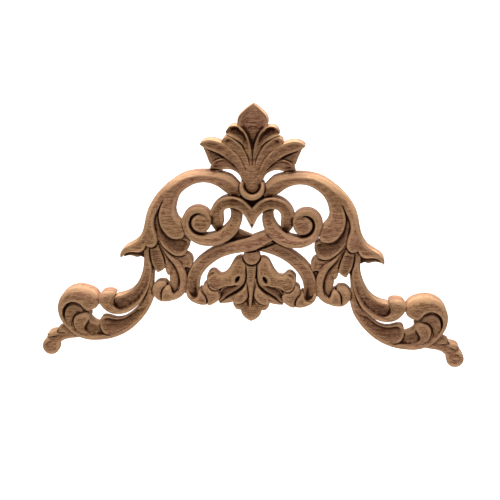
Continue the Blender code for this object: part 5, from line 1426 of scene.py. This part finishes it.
def wood_figure_group():
    """Shader group: fibres, growth layers, pores and patches of straight-grained hardwood."""
    tree = bpy.data.node_groups.new("wood_figure", "ShaderNodeTree")
    add_sockets(tree, "INPUT", (("Layer Turn", "Vector", LAYERS_TURN),))
    labels = ("Fibres", "Layers", "Pores", "Patches", "Height")
    add_sockets(tree, "OUTPUT", [(label, "Float", None) for label in labels])
    start = new_node(tree, "NodeGroupInput", (0, 4))
    place = new_node(tree, "ShaderNodeTexCoord", (0, 0)).outputs["Object"]
    fibres = stretched_noise(tree, (1, 0), place, FIBRES_SCALE, 3.0)
    pores = remapped(tree, (3, 1), stretched_noise(tree, (1, 1), place, PORES_SCALE, 1.0), *PORES_RANGE)
    patches = stretched_noise(tree, (1, 2), place, PATCHES_SCALE, 2.0)
    bend = new_node(tree, "ShaderNodeMapping", (1, 4))
    layers = new_node(tree, "ShaderNodeTexWave", (2, 4), bands_direction="Z")
    set_values(layers, Scale=LAYERS_SCALE, Distortion=LAYERS_DISTORTION, Detail_Scale=LAYERS_DETAIL)
    relief = new_node(tree, "ShaderNodeMath", (4, 1), operation="MULTIPLY_ADD")
    relief.inputs[1].default_value = PORES_DEPTH
    end = new_node(tree, "NodeGroupOutput", (6, 0))
    link_all(tree, ((place, bend.inputs["Vector"]), (start.outputs["Layer Turn"], bend.inputs["Rotation"]),
                    (bend.outputs["Vector"], layers.inputs["Vector"]),
                    (pores, relief.inputs[0]), (fibres, relief.inputs[2])))
    values = (fibres, layers.outputs["Fac"], pores, patches, relief.outputs[0])
    link_all(tree, [(value, end.inputs[label]) for label, value in zip(labels, values)])
    return tree


def new_material(name):
    """A material, its node tree and its shader."""
    material = bpy.data.materials.new(name)
    material.use_nodes = True
    tree = material.node_tree
    return material, tree, tree.nodes["Principled BSDF"]


def roughened(tree, shader, height, strength, distance):
    """Let a height raise the shader's surface a little."""
    bump = new_node(tree, "ShaderNodeBump", (-2, 3))
    set_values(bump, Strength=strength, Distance=distance)
    link_all(tree, ((height, bump.inputs["Height"]), (bump.outputs["Normal"], shader.inputs["Normal"])))


def carved_wood(settings, figure):
    """The carved front: brown wood, with painted shade where it is cut deep, and paler along its edges as
    worn wood with a painted highlight.
    """
    material, tree, shader = new_material("carved_wood")
    wood = new_node(tree, "ShaderNodeGroup", (-7, 0), node_tree=figure).outputs
    fine = new_node(tree, "ShaderNodeAttribute", (-7, 3), attribute_name="recess_fine").outputs["Fac"]
    wide = new_node(tree, "ShaderNodeAttribute", (-7, 4), attribute_name="recess_wide").outputs["Fac"]
    patches = remapped(tree, (-7, 1), wood["Patches"], *PATCHES_RANGE)
    color = mixed(tree, (-6, 0), patches, settings.wood_color, settings.warm_color)
    color = tinted(tree, (-5, 0), color, wood["Fibres"], *FIBRES_MARK)
    color = tinted(tree, (-4, 0), color, wood["Layers"], *LAYERS_MARK)
    color = tinted(tree, (-3, 0), color, wood["Pores"], *PORES_MARK)
    # Painted shade: the colour darkens towards the shade colour where a point lies below its surroundings,
    # standing in for the shadow in cuts and hollows.
    deep = new_node(tree, "ShaderNodeMath", (-5, 4), operation="MAXIMUM")
    link_all(tree, ((remapped(tree, (-6, 3), fine, *FINE_RANGE), deep.inputs[0]),
                    (remapped(tree, (-6, 4), wide, *WIDE_RANGE), deep.inputs[1])))
    shade_mix = remapped(tree, (-4, 4), deep.outputs[0], 0.0, 1.0, 0.0, settings.painted_shade_strength)
    color = mixed(tree, (-2, 0), shade_mix, color, settings.painted_shade_color)
    # Worn edges and painted highlight: points standing above their surroundings, the rims and arrises, are
    # made paler, both as wear and as the light that they catch.
    worn_and_lit = remapped(tree, (-4, 5), fine, *EDGE_RANGE, 0.0, settings.edge_wear_and_highlight)
    color = mixed(tree, (-1, 0), worn_and_lit, color, settings.edge_color)
    roughness = remapped(tree, (-2, 2), wood["Fibres"], *ROUGHNESS_RANGE)
    link_all(tree, ((color, shader.inputs["Base Color"]), (roughness, shader.inputs["Roughness"])))
    shader.inputs["Specular IOR Level"].default_value = WOOD_SPECULAR
    roughened(tree, shader, wood["Height"], *FRONT_BUMP)
    return material


def sawn_wood(settings, figure):
    """The flat back: the same wood, bare and paler, with straight saw marks."""
    material, tree, shader = new_material("sawn_wood")
    shader.inputs["Roughness"].default_value = BACK_ROUGHNESS
    wood = new_node(tree, "ShaderNodeGroup", (-6, 0), node_tree=figure).outputs
    place = new_node(tree, "ShaderNodeTexCoord", (-7, 2)).outputs["Object"]
    saw = new_node(tree, "ShaderNodeMapping", (-6, 2))
    set_values(saw, Rotation=(0.0, SAW_TURN, 0.0))
    strokes = new_node(tree, "ShaderNodeTexWave", (-5, 2), bands_direction="Z")
    set_values(strokes, Scale=SAW_SCALE, Distortion=SAW_DISTORTION)
    fibres = remapped(tree, (-5, 1), wood["Fibres"], *BACK_RANGE)
    color = mixed(tree, (-4, 0), fibres, settings.back_color, settings.wood_color)
    color = tinted(tree, (-3, 0), color, wood["Pores"], *BACK_PORES_MARK)
    color = tinted(tree, (-2, 0), color, strokes.outputs["Fac"], *SAW_MARK)
    link_all(tree, ((place, saw.inputs["Vector"]), (saw.outputs["Vector"], strokes.inputs["Vector"]),
                    (color, shader.inputs["Base Color"])))
    roughened(tree, shader, strokes.outputs["Fac"], *BACK_BUMP)
    return material


def plain_material(name, color, roughness):
    """A smooth pale paint for the stage."""
    material, tree, shader = new_material(name)
    set_values(shader, Base_Color=(*color, 1.0), Roughness=roughness)
    return material


def area_light(name, place, target, size, power):
    """A soft square light that faces a target."""
    data = bpy.data.lights.new(name, "AREA")
    data.size = size
    data.energy = power
    light = bpy.data.objects.new(name, data)
    light.location = place
    light.rotation_euler = (Vector(target) - Vector(place)).to_track_quat("-Z", "Y").to_euler()
    bpy.context.scene.collection.objects.link(light)
    return light


def stage_sheet(color):
    """The floor and the backdrop as one sheet with a round bend."""
    profile = [(STAGE_FRONT, STAGE_FLOOR)]
    for step in range(STAGE_BEND_STEPS + 1):
        angle = pi / 2 * step / STAGE_BEND_STEPS
        profile.append((STAGE_BACK - STAGE_BEND + STAGE_BEND * sin(angle),
                        STAGE_FLOOR + STAGE_BEND - STAGE_BEND * cos(angle)))
    profile.append((STAGE_BACK, STAGE_TOP))
    points = [(x, y, z) for y, z in profile for x in (-STAGE_HALF_WIDTH, STAGE_HALF_WIDTH)]
    faces = [(2 * k, 2 * k + 1, 2 * k + 3, 2 * k + 2) for k in range(len(profile) - 1)]
    mesh = bpy.data.meshes.new("sweep")
    mesh.from_pydata(points, [], faces)
    for face in mesh.polygons:
        face.use_smooth = True
    mesh.materials.append(plain_material("stage_paint", color, STAGE_ROUGHNESS))
    return bpy.data.objects.new("stage_sweep", mesh)


def photograph_camera():
    """A camera at the photograph's viewing angle."""
    pitch, yaw, roll = (Matrix.Rotation(radians(angle), 3, axis)
                        for angle, axis in zip(VIEW_ANGLES, "XZY"))
    back_to_object = (roll @ pitch @ yaw).transposed()
    axes = [back_to_object @ Vector(axis) for axis in ((1, 0, 0), (0, 0, 1), (0, -1, 0))]
    camera = bpy.data.objects.new("camera", bpy.data.cameras.new("camera"))
    camera.data.sensor_width = SENSOR_WIDTH
    camera.data.lens = VIEW_LENS
    orientation = Matrix(axes).transposed().to_4x4()
    camera.matrix_world = Matrix.Translation(back_to_object @ Vector(VIEW_PLACE)) @ orientation
    return camera


class CarvingSettings(bpy.types.PropertyGroup):
    """The sizes and colours of the carving."""
    width: bpy.props.FloatProperty(
        name="Width", description="Width of the whole applique", subtype="DISTANCE",
        default=CAD_HIGH.x - CAD_LOW.x, min=0.05, max=1.0)
    mark_depth: bpy.props.FloatProperty(
        name="Gouge mark depth", description="Height of the uneven marks on the front",
        subtype="DISTANCE", default=MARK_DEPTH, min=0.0, max=0.001, precision=5)
    wood_color: bpy.props.FloatVectorProperty(
        name="Wood", description="Main colour of the wood", subtype="COLOR", size=3,
        default=(0.485, 0.273, 0.14), min=0.0, max=1.0)
    warm_color: bpy.props.FloatVectorProperty(
        name="Warm patches", description="Second colour of the wood", subtype="COLOR", size=3,
        default=(0.505, 0.27, 0.158), min=0.0, max=1.0)
    back_color: bpy.props.FloatVectorProperty(
        name="Back", description="Colour of the sawn back", subtype="COLOR", size=3,
        default=(0.24, 0.125, 0.062), min=0.0, max=1.0)
    # Colour of the painted shade laid into the deep cuts and hollows
    painted_shade_color: bpy.props.FloatVectorProperty(
        name="Recesses", description="Colour in the deep cuts", subtype="COLOR", size=3,
        default=(0.042, 0.0098, 0.0018), min=0.0, max=1.0)
    # Colour of the worn edges, which also serves as their painted highlight
    edge_color: bpy.props.FloatVectorProperty(
        name="Edges", description="Colour of the worn edges", subtype="COLOR", size=3,
        default=(0.63, 0.375, 0.2), min=0.0, max=1.0)
    # Strength of the painted shade in the deep cuts and hollows
    painted_shade_strength: bpy.props.FloatProperty(
        name="Recess stain", description="How much darker the deep cuts are", subtype="FACTOR",
        default=0.93, min=0.0, max=1.0)
    # Strength of the paler worn edges and their painted highlight
    edge_wear_and_highlight: bpy.props.FloatProperty(
        name="Edge wear", description="How much paler the edges are", subtype="FACTOR",
        default=0.5, min=0.0, max=1.0)


class StageSettings(bpy.types.PropertyGroup):
    """The plain stage and its light."""
    floor_color: bpy.props.FloatVectorProperty(
        name="Stage colour", description="Colour of the floor and the backdrop", subtype="COLOR",
        size=3, default=(0.9, 0.9, 0.9), min=0.0, max=1.0)
    key_power: bpy.props.FloatProperty(
        name="Key light", description="Power of the soft light overhead", unit="POWER", default=12.0,
        min=0.0)
    front_power: bpy.props.FloatProperty(
        name="Front light", description="Power of the soft light in front", unit="POWER", default=0.8,
        min=0.0)


class APPLIQUE_OT_carve(bpy.types.Operator):
    """Carve the pierced board"""
    bl_idname = "applique.carve"
    bl_label = "Carve the applique"

    def execute(self, context):
        settings = context.scene.applique_carving
        scale = settings.width / DRAWN_WIDTH
        figure = wood_figure_group()
        front, back = carved_wood(settings, figure), sawn_wood(settings, figure)
        carving = Carving(scale)
        for region in REGIONS:
            region(carving)
        mesh = join_elements(carving, front)
        for vertex in mesh.vertices:
            if abs(vertex.co.y) < BACK_TOLERANCE * MM:
                vertex.co.y = 0.0
        board = bpy.data.objects.new("carved_board", mesh)
        context.scene.collection.objects.link(board)
        marks = board.modifiers.new("gouge marks", "NODES")
        marks.node_group = gouge_marks_tree()
        set_input(marks, "Mark Depth", settings.mark_depth)
        set_input(marks, "Finish", front)
        finished = evaluated_mesh(board)
        board.modifiers.remove(marks)
        board.data = finished
        finished.materials.clear()
        finished.materials.append(front)
        finished.materials.append(back)
        for face in finished.polygons:
            face.use_smooth = True
            face.material_index = 1 if face.normal.y > BACK_FACING and face.center.y > -MM else 0
        finished.set_sharp_from_angle(angle=SHARP_ANGLE)
        mark_recesses(finished, scale)
        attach(board, "root")
        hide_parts("applique")
        return {"FINISHED"}


class APPLIQUE_OT_set_stage(bpy.types.Operator):
    """Set the floor, the backdrop, the lights and the camera"""
    bl_idname = "applique.set_stage"
    bl_label = "Set the stage"

    def execute(self, context):
        settings = context.scene.applique_stage
        sweep = stage_sheet(settings.floor_color)
        context.scene.collection.objects.link(sweep)
        area_light("key_light", KEY_PLACE, (0.0, 0.0, 0.0), KEY_SIZE, settings.key_power)
        area_light("front_light", FRONT_PLACE, (0.0, 0.0, 0.0), FRONT_SIZE, settings.front_power)
        area_light("backdrop_light", BACKDROP_PLACE, BACKDROP_TARGET, BACKDROP_SIZE,
                   BACKDROP_POWER)
        world = bpy.data.worlds.new("studio")
        world.use_nodes = True
        background = world.node_tree.nodes["Background"]
        background.inputs["Color"].default_value = (1.0, 1.0, 1.0, 1.0)
        background.inputs["Strength"].default_value = WORLD_STRENGTH
        context.scene.world = world
        context.scene.view_settings.view_transform = "Standard"
        camera = photograph_camera()
        context.scene.collection.objects.link(camera)
        context.scene.camera = camera
        return {"FINISHED"}


class APPLIQUE_PT_panel(bpy.types.Panel):
    """Panel in the 3D view's sidebar"""
    bl_idname = "APPLIQUE_PT_panel"
    bl_label = "Carved applique"
    bl_space_type = "VIEW_3D"
    bl_region_type = "UI"
    bl_category = "Applique"

    def draw(self, context):
        for settings in (context.scene.applique_carving, context.scene.applique_stage):
            box = self.layout.box()
            for name in settings.__annotations__:
                box.prop(settings, name)
        for operator in (APPLIQUE_OT_carve, APPLIQUE_OT_set_stage):
            self.layout.operator(operator.bl_idname)


CLASSES = (CarvingSettings, StageSettings, APPLIQUE_OT_carve, APPLIQUE_OT_set_stage, APPLIQUE_PT_panel)


def register():
    for item in CLASSES:
        bpy.utils.register_class(item)
    bpy.types.Scene.applique_carving = bpy.props.PointerProperty(type=CarvingSettings)
    bpy.types.Scene.applique_stage = bpy.props.PointerProperty(type=StageSettings)


def unregister():
    del bpy.types.Scene.applique_stage
    del bpy.types.Scene.applique_carving
    for item in reversed(CLASSES):
        bpy.utils.unregister_class(item)


def main():
    register()
    bpy.ops.applique.carve()
    bpy.ops.applique.set_stage()


if __name__ == "__main__":
    main()
